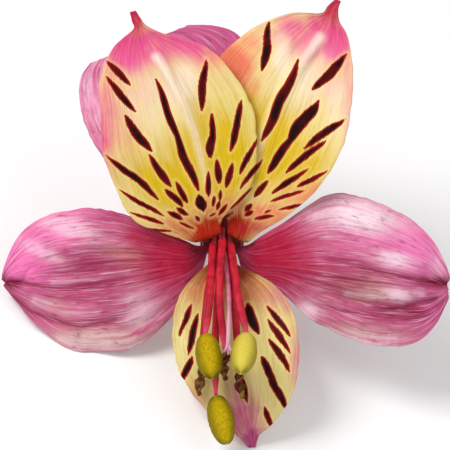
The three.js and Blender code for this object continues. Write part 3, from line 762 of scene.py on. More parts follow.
class NodeBoard:
    """The nodes of one material, with short ways to add and join them."""

    def __init__(self, name: str) -> None:
        """Makes an empty material.

        Args:
            name: the material's name.
        """
        self.material = bpy.data.materials.new(name)
        self.material.use_nodes = True
        self.nodes = self.material.node_tree.nodes
        self.links = self.material.node_tree.links
        self.nodes.clear()

    def add(self, kind: str, **inputs: object) -> bpy.types.Node:
        """Adds a node and sets its inputs, a socket being linked and anything else being a value."""
        node = self.nodes.new(kind)
        for name, value in inputs.items():
            self.feed(node.inputs[name.replace("_", " ")], value)
        return node

    def feed(self, socket: bpy.types.NodeSocket, value: object) -> None:
        """Links a socket to an output, or sets its value."""
        if isinstance(value, bpy.types.NodeSocket):
            self.links.new(value, socket)
        else:
            socket.default_value = value

    def zone(self, name: str) -> bpy.types.NodeSocket:
        """A number stored on the mesh."""
        node = self.add("ShaderNodeAttribute")
        node.attribute_name = name
        return node.outputs["Fac"]

    def sheet_place(self, scale: Point3) -> bpy.types.NodeSocket:
        """Place on a tepal's own map, stretched across and along."""
        source = self.add("ShaderNodeUVMap")
        source.uv_map = SHEET_MAP
        return self.add("ShaderNodeMapping", Vector=source.outputs["UV"], Scale=scale).outputs["Vector"]

    def solid_place(self) -> bpy.types.NodeSocket:
        """Place in the piece's own space, in metres."""
        return self.add("ShaderNodeTexCoord").outputs["Object"]

    def noise(self, place: bpy.types.NodeSocket, scale: float, detail: float = 3.0,
              rough: float = 0.55, bend: float = 0.0) -> bpy.types.NodeSocket:
        """Cloudy unevenness from 0 to 1."""
        return self.add("ShaderNodeTexNoise", Vector=place, Scale=scale, Detail=detail,
                        Roughness=rough, Distortion=bend).outputs["Fac"]

    def sum(self, kind: str, first: object, second: object, third: object = 0.0,
            clamp: bool = False) -> bpy.types.NodeSocket:
        """One arithmetic step on numbers or sockets."""
        node = self.nodes.new("ShaderNodeMath")
        node.operation = kind
        node.use_clamp = clamp
        for socket, value in zip(node.inputs, (first, second, third)):
            self.feed(socket, value)
        return node.outputs["Value"]

    def swing(self, noise: object, strength: float) -> bpy.types.NodeSocket:
        """How far a noise is from its middle, times a strength."""
        return self.sum("MULTIPLY", self.sum("SUBTRACT", noise, 0.5), strength)

    def span(self, value: object, low: float, high: float, start: float = 0.0,
             end: float = 1.0) -> bpy.types.NodeSocket:
        """Smoothly maps a value between two limits onto two others."""
        node = self.nodes.new("ShaderNodeMapRange")
        node.interpolation_type = "SMOOTHSTEP"
        for name, part in zip(("Value", "From Min", "From Max", "To Min", "To Max"),
                              (value, low, high, start, end)):
            self.feed(node.inputs[name], part)
        return node.outputs["Result"]

    def blend(self, cover: object, under: object, over: object) -> bpy.types.NodeSocket:
        """Lays one colour over another.

        Args:
            cover: how much of the upper colour shows.
            under: the lower colour.
            over: the upper colour.

        Returns:
            The mixed colour.
        """
        node = self.nodes.new("ShaderNodeMix")
        node.data_type = "RGBA"
        self.feed(node.inputs["Factor"], cover)
        self.feed(node.inputs[6], under)
        self.feed(node.inputs[7], over)
        return node.outputs[2]

    def bump(self, height: object, strength: float, depth: float) -> bpy.types.NodeSocket:
        """Small relief from a height."""
        return self.add("ShaderNodeBump", Height=height, Strength=strength,
                        Distance=depth).outputs["Normal"]

    def surface(self, colour: object, normal: object | None, rough: object, **fixed: object) -> None:
        """Ends the board in one surface shader.

        Args:
            colour: base colour.
            normal: the bent normal, or None.
            rough: roughness.
            fixed: further sockets by name, with constant values.
        """
        shader = self.add("ShaderNodeBsdfPrincipled", Base_Color=colour, Roughness=rough)
        if normal is not None:
            self.feed(shader.inputs["Normal"], normal)
        for name, value in fixed.items():
            shader.inputs[name.replace("_", " ")].default_value = value
        self.add("ShaderNodeOutputMaterial", Surface=shader.outputs["BSDF"])


SHEET_MAP = "sheet"
FLECK_ZONE = "fleck"
MIDRIB_ZONE = "midrib"

# Noise counts across and along a tepal's own map, and cloud counts to a metre.
LONG_GRAIN = (30.0, 2.4, 1.0)
FINE_GRAIN = (95.0, 7.0, 1.0)
CRINKLE_NET = (30.0, 16.0, 1.0)
TISSUE_CLOUDS = 420.0
FLECK_CLOUDS = 190.0
TISSUE_RELIEF = 0.00024

# a piece's third colour; on the fresh anthers it holds painted shade on the flanks, seam and ends
END_ZONE = "end"
# the ovary's red top, and the right anther's paler pollen, brightest in the middle as a painted highlight
STAIN_ZONE = "stain"
SPECK_SHARE = 6  # how many specks of a solid piece lie across one of its clouds


@dataclass(frozen=True)
class TepalFinish:
    """Thin satin tissue with colour zones, painted highlights and painted shade among them, lengthwise
    veins and dark flecks with crimson rims.
    """

    name: str
    base: int
    tints: dict[Tint, int]
    vein: int
    vein_cover: float
    light_vein: int
    light_cover: float
    fray: float
    crinkle: float
    core: int = 0x1A0000
    warm_core: int = 0x5A0404
    rim: int = 0x960810
    halo: int = 0xF0E08A
    midrib: int = 0x9CAA5E
    wash: int = 0xF0C8D2
    from_behind: bool = False

    def back(self) -> "TepalFinish":
        """The same tissue from behind: paler, green along the midrib, its flecks only showing through."""
        return replace(self, name=f"{self.name}_back", from_behind=True)

    def material(self) -> bpy.types.Material:
        """Builds the finish.

        Returns:
            The material for a tepal's sheet.
        """
        board = NodeBoard(self.name)
        long_grain = board.noise(board.sheet_place(LONG_GRAIN), 1.0, detail=4.0, rough=0.6, bend=0.3)
        fine_grain = board.noise(board.sheet_place(FINE_GRAIN), 1.0, rough=0.6, bend=0.4)
        crinkle = board.noise(board.sheet_place(CRINKLE_NET), 1.0, detail=4.0, rough=0.6, bend=0.35)
        cloud = board.noise(board.solid_place(), TISSUE_CLOUDS, bend=0.4)
        colour = self.zoned(board, long_grain, cloud)
        colour = self.veined(board, colour, long_grain, fine_grain, crinkle)
        flecked = self.flecked(board, colour, fine_grain, cloud)
        colour = self.washed(board, colour, flecked) if self.from_behind else flecked
        height = board.sum("ADD", board.sum("MULTIPLY", long_grain, 0.7), fine_grain)
        height = board.sum("ADD", height, board.sum("MULTIPLY", crinkle, self.crinkle))
        board.surface(
            colour, board.bump(height, 0.7, TISSUE_RELIEF), board.span(cloud, 0.3, 0.7, 0.46, 0.6),
            Subsurface_Weight=0.12, Subsurface_Radius=(1.0, 0.35, 0.3), Subsurface_Scale=0.0006,
            Specular_IOR_Level=0.1,
        )
        return board.material

    def zoned(self, board: NodeBoard, long_grain: object, cloud: object) -> object:
        """Lays the colour zones over the base, painted highlights and painted shade among them, each with
        an edge that frays along the grain.
        """
        fray = board.sum("ADD", board.swing(long_grain, self.fray), board.swing(cloud, 0.5))
        colour: object = tone(self.base)
        for tint, code in self.tints.items():
            zone = board.zone(tint.value)
            edge = board.sum("MULTIPLY", fray, board.span(zone, 0.02, 0.3))
            cover = board.sum("ADD", zone, edge, clamp=True)
            colour = board.blend(cover, colour, tone(code))
        return colour

    def veined(self, board: NodeBoard, colour: object, long_grain: object, fine_grain: object,
               crinkle: object) -> object:
        """Draws dark veins and their net, and light veins that the richest zones hold back."""
        dark_lines = board.sum("MULTIPLY", board.span(long_grain, 0.5, 0.7), self.vein_cover)
        colour = board.blend(dark_lines, colour, tone(self.vein))
        net_cover = self.crinkle * self.vein_cover
        dark_net = board.sum("MULTIPLY", board.span(crinkle, 0.52, 0.74), net_cover)
        colour = board.blend(dark_net, colour, tone(self.vein))
        held_back = 0.15 * self.light_cover
        rich = board.sum("MAXIMUM", board.zone(EMBER_AND_THROAT_SHADE.value), board.zone(GOLD.value))
        bare = board.span(rich, 0.1, 0.7, self.light_cover, held_back)
        light_lines = board.sum("MULTIPLY", board.span(fine_grain, 0.5, 0.72), bare)
        return board.blend(light_lines, colour, tone(self.light_vein))

    def washed(self, board: NodeBoard, plain: object, flecked: object) -> object:
        """Pales the tissue, lets its flecks show through faintly and greens its midrib."""
        shown, paled, greened = 0.45, 0.3, 0.6
        colour = board.blend(paled, board.blend(shown, plain, flecked), tone(self.wash))
        rib = board.sum("MULTIPLY", board.zone(MIDRIB_ZONE), greened)
        return board.blend(rib, colour, tone(self.midrib))

    def flecked(self, board: NodeBoard, colour: object, grain: object, cloud: object) -> object:
        """Lays the flecks over a colour, each with its halo, crimson rim and dark core."""
        edge = board.sum("ADD", board.zone(FLECK_ZONE), board.swing(grain, 0.36))
        colour = board.blend(board.span(edge, 0.75, 0.1, 0.0, 0.28), colour, tone(self.halo))
        colour = board.blend(board.span(edge, 0.12, -0.02), colour, tone(self.rim))
        patchy = board.noise(board.solid_place(), FLECK_CLOUDS, detail=2.0, rough=0.5)
        large_warmth = board.span(patchy, 0.48, 0.66, 0.0, 0.75)
        small_warmth = board.span(cloud, 0.45, 0.7, 0.0, 0.35)
        warmth = board.sum("ADD", large_warmth, small_warmth, clamp=True)
        core = board.blend(warmth, tone(self.core), tone(self.warm_core))
        return board.blend(board.span(edge, -0.06, -0.3), colour, core)


# In each finish the pale colour is partly painted highlight, the ember colour partly painted throat shade
# and the deep colour partly painted crease shade.
INNER_FINISH = TepalFinish(
    "inner_tepal_tissue", 0xE6D48C,
    {
        GOLD: 0xD6B400, SALMON: 0xE87658, BLUSH: 0xE03E88, PALE_HIGHLIGHT: 0xF8ECDA,
        EMBER_AND_THROAT_SHADE: 0xA81600, DEEP_AND_CREASE_SHADE: 0xC00848,
    },
    vein=0xB07C30, vein_cover=0.26, light_vein=0xF8EEC0, light_cover=0.16, fray=1.0, crinkle=0.5,
)
LOWER_FINISH = TepalFinish(
    "lower_tepal_tissue", 0xDDD084,
    {
        GOLD: 0xD8BE5A, SALMON: 0xC87448, BLUSH: 0xBA4A80, PALE_HIGHLIGHT: 0xF0E8A8,
        EMBER_AND_THROAT_SHADE: 0x9C2402, DEEP_AND_CREASE_SHADE: 0x9C0A34,
    },
    vein=0xB06A50, vein_cover=0.34, light_vein=0xEFE8B8, light_cover=0.2, fray=0.9, crinkle=0.6,
)
OUTER_FINISH = TepalFinish(
    "outer_tepal_tissue", 0xC25A84,
    {
        GOLD: 0xBC9078, SALMON: 0x9C2C58, BLUSH: 0xEE74B4, PALE_HIGHLIGHT: 0xF6DCE6,
        EMBER_AND_THROAT_SHADE: 0xAC0A32, DEEP_AND_CREASE_SHADE: 0x7E0430,
    },
    vein=0x7E2448, vein_cover=0.58, light_vein=0xF0D0DA, light_cover=0.46, fray=1.8, crinkle=1.0,
)
TEPAL_FINISHES = {
    "inner_tepal": INNER_FINISH,
    "inner_tepal_lower": LOWER_FINISH,
    "outer_tepal": OUTER_FINISH,
}


@dataclass(frozen=True)
class FleshFinish:
    """Moist plant flesh in two mottled shades, with a third and a stain where the piece's own zones say. On
    the fresh anthers the third is painted shade and the stain a paler tone that shows as a painted
    highlight.
    """

    name: str
    shade: int
    second: int
    end: int
    mottle: float = 700.0
    grain: float = 0.00008
    rough: float = 0.42
    gloss: float = 0.25
    stain: int = 0x7A160C

    def material(self) -> bpy.types.Material:
        """Builds the finish.

        Returns:
            The material for a solid piece.
        """
        board = NodeBoard(self.name)
        place = board.solid_place()
        cloud = board.noise(place, self.mottle, detail=4.0, rough=0.6, bend=0.4)
        speck = board.noise(place, self.mottle * SPECK_SHARE, detail=2.0, rough=0.6)
        colour = board.blend(board.span(cloud, 0.36, 0.64), tone(self.shade), tone(self.second))
        colour = board.blend(board.zone(END_ZONE), colour, tone(self.end))
        colour = board.blend(board.zone(STAIN_ZONE), colour, tone(self.stain))
        height = board.sum("ADD", board.sum("MULTIPLY", speck, 0.5), cloud)
        rough = board.span(speck, 0.3, 0.7, self.rough, self.rough + 0.2)
        board.surface(
            colour, board.bump(height, 0.5, self.grain), rough,
            Subsurface_Weight=0.1, Subsurface_Radius=(1.0, 0.4, 0.3), Subsurface_Scale=0.0005,
            Specular_IOR_Level=self.gloss,
        )
        return board.material


# ---------------------------------------------------------------- making the pieces


def numbers_on(mesh: bpy.types.Mesh, name: str, values: np.ndarray) -> None:
    """Stores one number for each vertex of a mesh under a name."""
    layer = mesh.attributes.new(name, "FLOAT", "POINT")
    layer.data.foreach_set("value", np.ascontiguousarray(values, np.float32))


def vertex_points(bm: bmesh.types.BMesh) -> np.ndarray:
    """The places of a shape's vertices, one row for each."""
    return np.array([vertex.co[:] for vertex in bm.verts])


def place_vertices(bm: bmesh.types.BMesh, points: np.ndarray) -> None:
    """Moves a shape's vertices to new places, in the same order."""
    for vertex, point in zip(bm.verts, points):
        vertex.co = point


def point_outwards(bm: bmesh.types.BMesh) -> None:
    """Turns the faces of one closed shape outwards, which its signed volume then shows."""
    bmesh.ops.recalc_face_normals(bm, faces=bm.faces)
    if bm.calc_volume(signed=True) < 0:
        bmesh.ops.reverse_faces(bm, faces=bm.faces)


@dataclass
class PieceMaker:
    """Turns finished shapes into pieces that stand for CAD nodes on the bloom's one body."""

    seat: Seat
    made: list[str] = field(default_factory=list)

    def mesh_from(self, bm: bmesh.types.BMesh, name: str) -> bpy.types.Mesh:
        """Makes a smooth mesh in the model's frame from a shape in the bloom's frame.

        Args:
            bm: the shape in millimetres, which is freed.
            name: the mesh's name.

        Returns:
            The mesh.
        """
        place_vertices(bm, self.seat.carry(vertex_points(bm)))
        for face in bm.faces:
            face.smooth = True
        mesh = bpy.data.meshes.new(name)
        bm.to_mesh(mesh)
        bm.free()
        return mesh

    def piece(self, mesh: bpy.types.Mesh, node: str, slot: str,
              material: bpy.types.Material) -> bpy.types.Object:
        """Makes the object of a finished mesh and lets it stand for its CAD node.

        Args:
            mesh: the mesh, whose name the object takes.
            node: the CAD node that it replaces.
            slot: the name of a material slot; not used.
            material: the piece's finish.

        Returns:
            The object.
        """
        mesh.materials.append(material)
        made = bpy.data.objects.new(mesh.name, mesh)
        bpy.context.scene.collection.objects.link(made)
        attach(made, BODY)
        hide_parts(node)
        self.made.append(made.name)
        LOG.info("%s stands for %s, %d faces", made.name, node, len(mesh.polygons))
        return made


WALL_LEVELS = 20  # how many thicknesses a tepal's wall steps through
FAR_OFF = 9.0  # the distance to a fleck that stands for none near
BLADE_START = 0.02  # no fleck lies nearer the throat than this share of the blade
RIB_HALF_WIDTH = 0.6  # of the green line along a tepal's back


@dataclass
class TepalSheet:
    """The mesh of one tepal: an even grid laid on its shape, with relief, margins and zones."""

    tepal: Tepal
    columns: int = 110
    rows: int = 190
    thickest: float = 0.42
    thinnest_share: float = 0.36

    def build(self, maker: PieceMaker, material: bpy.types.Material,
              back: bpy.types.Material) -> bpy.types.Object:
        """Builds the tepal's piece.

        Args:
            maker: what makes the piece.
            material: the finish of the tepal's face.
            back: the finish of its back.

        Returns:
            The tepal's object.
        """
        tepal = self.tepal
        bm = bmesh.new()
        bmesh.ops.create_grid(bm, x_segments=self.columns, y_segments=self.rows, size=0.5)
        flat = vertex_points(bm)
        across, level = flat[:, 0] * 2, flat[:, 1] + 0.5
        even = tepal.shape.even_places(600)
        place = np.interp(level, np.linspace(0, 1, len(even)), even)
        spread = self.margin(across, level)
        plain = tepal.shape.surface(across, place)[0]
        points, reach, share = tepal.shape.surface(across, place, spread)
        normal = self.normals(across, place, spread)
        face = plain[:, :2]
        points += normal * self.relief(across, level, reach, share, face)[:, None]
        place_vertices(bm, points)
        mesh = maker.mesh_from(bm, tepal.name)
        self.point_up(mesh, maker.seat)
        self.zones(mesh, face, share)
        rib = np.exp(-((reach / RIB_HALF_WIDTH) ** 2)) * (1 - 0.6 * np.clip(share, 0, 1))
        numbers_on(mesh, MIDRIB_ZONE, rib)
        self.map_sheet(mesh, across, level)
        made = maker.piece(mesh, tepal.node, tepal.slot, material)
        mesh.materials.append(back)
        self.thicken(made, across, level)
        return made

    def margin(self, across: np.ndarray, level: np.ndarray) -> np.ndarray:
        """What the half widths are multiplied by, so that the margins run unevenly."""
        seed = self.tepal.seed
        side = np.where(across > 0, 17.3, 3.1)
        wave = ripple(side, level * 16, seed) + 0.6 * ripple(side, level * 46, seed + 1)
        calm = ease(0.22, 0.4, level) * (1 - ease(0.8, 0.9, level))
        unevenness = 0.014
        return 1 + unevenness * wave * calm

    def normals(self, across: np.ndarray, place: np.ndarray, spread: np.ndarray) -> np.ndarray:
        """Unit normals of the plain sheet that point out of the face."""
        step = 0.004
        surface = self.tepal.shape.surface
        beside = surface(across + step, place, spread)[0] - surface(across - step, place, spread)[0]
        ahead, behind = np.clip(place + step, 0, 1), np.clip(place - step, 0, 1)
        along = surface(across, ahead, spread)[0] - surface(across, behind, spread)[0]
        normal = np.cross(along, beside)
        return normal / np.maximum(np.linalg.norm(normal, axis=1, keepdims=True), 1e-9)

    def relief(self, across: np.ndarray, level: np.ndarray, reach: np.ndarray, share: np.ndarray,
               face: np.ndarray) -> np.ndarray:
        """Height in millimetres above the plain sheet: folds, furrows, fine veins and ruffled margins."""
        tepal, seed, vein_height = self.tepal, self.tepal.seed, 0.022
        blade = ease(0.05, 0.2, share)
        veins = ripple(across * 22, level * 2.6, seed + 2)
        veins += 0.7 * ripple(across * 47, level * 5, seed + 3)
        furrows = ripple(across * 8 + 9, level * 2.2, seed + 4)
        crumple = ripple(across * 7, level * 15, seed + 5)
        crumple += 0.6 * ripple(across * 16, level * 31, seed + 8)
        edge = np.abs(across) ** 4
        wave = ripple(np.where(across > 0, 7.7, 23.1), level * 11, seed + 6)
        height = vein_height * veins + tepal.furrow * furrows + tepal.crumple * crumple
        height = blade * (height + tepal.ruffle * edge * wave * (1 - ease(0.8, 0.95, share)))
        fade = ease(0.0, 0.25, 1 - np.abs(across))
        for fold in tepal.folds:
            height += blade * fold.lift_at(face) * (0.25 + 0.75 * fade)
        return height

    @staticmethod
    def point_up(mesh: bpy.types.Mesh, seat: Seat) -> None:
        """Turns the sheet over if its faces look into the throat."""
        outward = seat.face_out()
        facing = sum(polygon.area * polygon.normal.dot(outward) for polygon in mesh.polygons)
        if facing < 0:
            mesh.flip_normals()

    def zones(self, mesh: bpy.types.Mesh, face: np.ndarray, share: np.ndarray) -> None:
        """Stores how strong each colour zone is, and how far the nearest fleck's edge is."""
        for tint in Tint:
            strength = np.zeros(len(face))
            for patch in self.tepal.patches:
                if patch.tint is tint:
                    strength = np.maximum(strength, patch.strength_at(face))
            for fold in self.tepal.folds:
                if fold.tint is tint:
                    strength = np.maximum(strength, fold.tint_and_light_at(face))
            numbers_on(mesh, tint.value, strength)
        nearest = np.full(len(face), FAR_OFF)
        uneven = 0.07 * ripple(face[:, 0] * 0.8, face[:, 1] * 0.7, self.tepal.seed + 7)
        for fleck in self.tepal.flecks:
            nearest = np.minimum(nearest, fleck.distance(face) + uneven)
        nearest = np.where(share < BLADE_START, FAR_OFF, nearest)
        numbers_on(mesh, FLECK_ZONE, nearest)

    @staticmethod
    def map_sheet(mesh: bpy.types.Mesh, across: np.ndarray, level: np.ndarray) -> None:
        """Gives the sheet its own map: across and along, each from 0 to 1."""
        corners = np.empty(len(mesh.loops), int)
        mesh.loops.foreach_get("vertex_index", corners)
        places = np.stack([across * 0.5 + 0.5, level], axis=1)[corners]
        layer = mesh.uv_layers.new(name=SHEET_MAP)
        layer.data.foreach_set("uv", places.astype(np.float32).ravel())

    def thicken(self, made: bpy.types.Object, across: np.ndarray, level: np.ndarray) -> None:
        """Gives the sheet its wall, thick along the midrib and the horn and thin at the margins."""
        group = made.vertex_groups.new(name="flesh")
        weights = np.maximum(1 - np.abs(across) ** 3, ease(0.86, 0.94, level))
        levels = np.round(weights * WALL_LEVELS).astype(int)
        for step in range(WALL_LEVELS + 1):
            chosen = np.nonzero(levels == step)[0]
            if len(chosen):
                group.add(chosen.tolist(), step / WALL_LEVELS, "REPLACE")
        wall = made.modifiers.new("wall", "SOLIDIFY")
        wall.thickness = self.thickest * MM
        wall.offset = 0.0
        wall.vertex_group = group.name
        wall.thickness_vertex_group = self.thinnest_share
        wall.use_rim = True
        wall.material_offset = 1


ROD_FRONT = np.array([0.0, 0.35, 0.94])  # where a rod's angles count from, across its path


@dataclass(frozen=True)
class Rod:
    """A round rod along a smooth path, whose radius may change with the angle and along its length."""

    path: tuple[Point3, ...]
    sides: int = 20
    steps: int = 60

    def build(self, radius: Callable[[np.ndarray, np.ndarray], np.ndarray],
              twist: float = 0.0) -> tuple[bmesh.types.BMesh, np.ndarray, np.ndarray]:
        """Bends a subdivided cylinder onto the path.

        Args:
            radius: radius in millimetres from the angle round the rod and the share of its length.
            twist: turns of the section from start to end.

        Returns:
            The shape, with the angle and the share of each vertex.
        """
        bm = bmesh.new()
        bmesh.ops.create_cone(bm, cap_ends=True, cap_tris=True, segments=self.sides, radius1=1.0,
                              radius2=1.0, depth=1.0)
        lengthwise = [edge for edge in bm.edges if abs(edge.verts[0].co.z - edge.verts[1].co.z) > 0.5]
        bmesh.ops.subdivide_edges(bm, edges=lengthwise, cuts=self.steps)
        flat = vertex_points(bm)
        share = np.clip(flat[:, 2] + 0.5, 0, 1)
        angle = np.arctan2(flat[:, 1], flat[:, 0])
        size = np.hypot(flat[:, 0], flat[:, 1]) * radius(angle, share)
        place_vertices(bm, self.around(angle + twist * 2 * math.pi * share, share, size))
        point_outwards(bm)
        return bm, angle, share

    def around(self, angle: np.ndarray, share: np.ndarray, size: np.ndarray) -> np.ndarray:
        """Points at an angle and a distance from the path."""
        middle = smooth_curve(self.path, share)
        step = 0.01
        ahead = smooth_curve(self.path, np.clip(share + step, 0, 1))
        behind = smooth_curve(self.path, np.clip(share - step, 0, 1))
        way = (ahead - behind) / np.linalg.norm(ahead - behind, axis=1, keepdims=True)
        front = ROD_FRONT - way * (way @ ROD_FRONT)[:, None]
        front /= np.linalg.norm(front, axis=1, keepdims=True)
        side = np.cross(way, front)
        out = front * np.cos(angle)[:, None] + side * np.sin(angle)[:, None]
        return middle + out * size[:, None]


def tube_path(bearing: float, ring: float, beyond: Sequence[Point3]) -> tuple[Point3, ...]:
    """Stations up the throat tube, and then the given points, whose heights count from its mouth."""
    inside = [tuple(in_tube(bearing, ring, share)) for share in (0.0, 0.5, 1.0)]
    return (*inside, *((x, y, CLAW_HEIGHT + height) for x, y, height in beyond))


THREAD_SINK = 0.08  # how far short of its anther's foot a filament's end stops


@dataclass(frozen=True)
class Stamen:
    """One stamen: the way its filament goes, and the anther on its end."""

    name: str
    foot: float
    beyond: tuple[Point3, ...]
    way: Point3
    fresh: bool
    seed: int
    # how much paler pollen the anther has, held back where the painted shade lies so that it shows as a
    # painted highlight in the middle
    pale: float = 0.0

    def build(self, maker: PieceMaker, finishes: dict[str, bpy.types.Material]) -> None:
        """Builds the filament and its anther.

        Args:
            maker: what makes the pieces.
            finishes: the materials by slot.
        """
        path = tube_path(self.foot, STAMEN_RING, self.beyond)
        way = np.asarray(self.way) / np.linalg.norm(self.way)
        foot = np.asarray(path[-1]) + way * (GAP + FILAMENT_RADIUS / 2)
        reached = (*path[:-1], tuple(foot - way * THREAD_SINK))
        bm, _, share = Rod(reached, 20, 90).build(self.thread_radius)
        mesh = maker.mesh_from(bm, f"thread_{self.name}")
        numbers_on(mesh, END_ZONE, ease(0.9, 1.0, share) * 0.7)
        maker.piece(mesh, f"filament_{self.name}", "filament", finishes["filament"])
        if self.fresh:
            self.fresh_anther(maker, foot, way, finishes["fresh_anther"])
        else:
            self.spent_anther(maker, foot, way, finishes["spent_anther"])

    def thread_radius(self, angle: np.ndarray, share: np.ndarray) -> np.ndarray:
        """Filament radius: faintly flattened, and drawn to a point where the anther hangs."""
        uneven = 1 + 0.03 * ripple(angle * 0.9 + 7, share * 9, self.seed)
        full = 1 + 0.26 * ease(0.3, 0.5, share) - 0.18 * share - 0.5 * ease(0.93, 1.0, share)
        return FILAMENT_RADIUS * uneven * full * (1 - 0.2 * np.cos(2 * angle))

    def fresh_anther(self, maker: PieceMaker, foot: np.ndarray, way: np.ndarray,
                     material: bpy.types.Material) -> None:
        """Builds a plump anther: two sacs with a seam between them, dusted with pollen, with painted shade
        on its flanks, in its seam and at its ends.
        """
        length = FRESH_ANTHER_LENGTH
        bm = bmesh.new()
        bmesh.ops.create_uvsphere(bm, u_segments=96, v_segments=72, radius=1.0)
        ball = vertex_points(bm)
        share = np.arccos(np.clip(-ball[:, 2], -1, 1)) / math.pi
        share = 0.5 - 0.5 * np.cos(math.pi * share)
        angle = np.arctan2(ball[:, 1], ball[:, 0])
        girth = np.clip(4 * share * (1 - share), 0, 1) ** 0.43 * (0.97 - 0.07 * (share - 0.4))
        seam_at, seam_width, seam_depth, pollen = 1.45, 0.16, 0.09, 0.045
        seam = np.exp(-((np.abs(angle) - seam_at) / seam_width) ** 2)
        grain = ripple(angle * 9 + 30, share * 44, self.seed) * np.clip(4 * share * (1 - share), 0, 1)
        lumps = ripple(angle * 1.4 + 11, share * 5, self.seed + 1)
        size = FRESH_ANTHER_RADIUS * girth * (1 - seam_depth * seam) * (1 + 0.02 * lumps) + pollen * grain
        size *= np.hypot(ball[:, 0], ball[:, 1]) > 1e-6
        bow = np.array([0, 0, 0.15])
        path = (tuple(foot), tuple(foot + way * length / 2 + bow), tuple(foot + way * length))
        place_vertices(bm, Rod(path).around(angle, share, size))
        point_outwards(bm)
        mesh = maker.mesh_from(bm, f"anther_fresh_{self.name}")
        # Painted shade: darker olive on the flanks that turn away from the face, in the seam between the
        # sacs and at both ends.
        flank = 0.7 * ease(0.15, 0.95, np.abs(np.sin(angle)))
        ends = 0.45 * ease(0.2, 0.0, share) + 0.35 * ease(0.88, 1.0, share)
        shade = np.clip(np.maximum(0.85 * seam, flank) + ends, 0, 1)
        numbers_on(mesh, END_ZONE, shade)
        # The paler pollen is held back where the painted shade lies, which leaves a painted highlight in
        # the middle.
        numbers_on(mesh, STAIN_ZONE, self.pale * (1 - 0.7 * shade))
        maker.piece(mesh, f"anther_{self.name}", "fresh_anther", material)

    def spent_anther(self, maker: PieceMaker, foot: np.ndarray, way: np.ndarray,
                     material: bpy.types.Material) -> None:
        """Builds a shrivelled anther: a thin husk, twisted and puckered."""
        length, wriggle = SPENT_ANTHER_LENGTH, 0.22
        aside = np.cross(way, [0.0, 0.0, 1.0])
        path = tuple(
            tuple(foot + way * length * share + aside * wriggle * math.sin(7 * share + self.seed))
            for share in (0.0, 0.25, 0.5, 0.75, 1.0)
        )

        def radius(angle: np.ndarray, share: np.ndarray) -> np.ndarray:
            """Radius of the flattened husk."""
            blunt_end = 0.02
            inner = share * (1 - 2 * blunt_end) + blunt_end
            girth = np.clip(4 * inner * (1 - inner), 0, 1) ** 0.5
            flat = 0.66 + 0.3 * np.cos(2 * angle)
            pucker = 0.2 * ripple(angle * 1.9 + 13, share * 15, self.seed)
            return SPENT_ANTHER_RADIUS * girth * (flat + pucker)

        bm, angle, share = Rod(path, 36, 80).build(radius, twist=1.2)
        mesh = maker.mesh_from(bm, f"anther_spent_{self.name}")
        mottled = 0.5 + 0.9 * ripple(angle * 1.2 + 5, share * 7, self.seed + 3)
        numbers_on(mesh, END_ZONE, np.clip(mottled, 0, 1))
        maker.piece(mesh, f"anther_{self.name}", "spent_anther", material)


STAMENS = (
    Stamen("left", 150, ((-1.5, -2, 4.6), (-1.9, -9.5, 11), (-2.7, -15.1, 12.6)),
           (0.14, -0.84, 0.52), fresh=True, seed=31),
    Stamen("right", 30, ((1.5, -2, 4.6), (2.6, -9.5, 11), (4.0, -15.2, 12.4)),
           (-0.12, -0.72, 0.68), fresh=True, seed=32, pale=0.7),
    Stamen("low", 270, ((0, -4.4, 2.6), (-0.7, -10.2, 8), (-1.1, -18, 9.4), (-1.1, -24.7, 10.2)),
           (0.22, -0.97, 0.1), fresh=True, seed=33),
    Stamen("back_left", 210, ((-1.4, -4.3, 2.8), (-2.4, -10.2, 8.2), (-3.3, -19.8, 8.8)),
           (-0.05, -0.98, 0.02), fresh=False, seed=34),
    Stamen("back_middle", 90, ((0, -1.2, 5), (-0.4, -9.4, 10.3), (0.45, -17.4, 9.8)),
           (0, -0.96, 0.2), fresh=False, seed=35),
    Stamen("back_right", 330, ((1.4, -4.3, 2.8), (2.0, -10.2, 8.2), (2.6, -20.4, 8.8)),
           (0.1, -0.96, 0.25), fresh=False, seed=36),
)


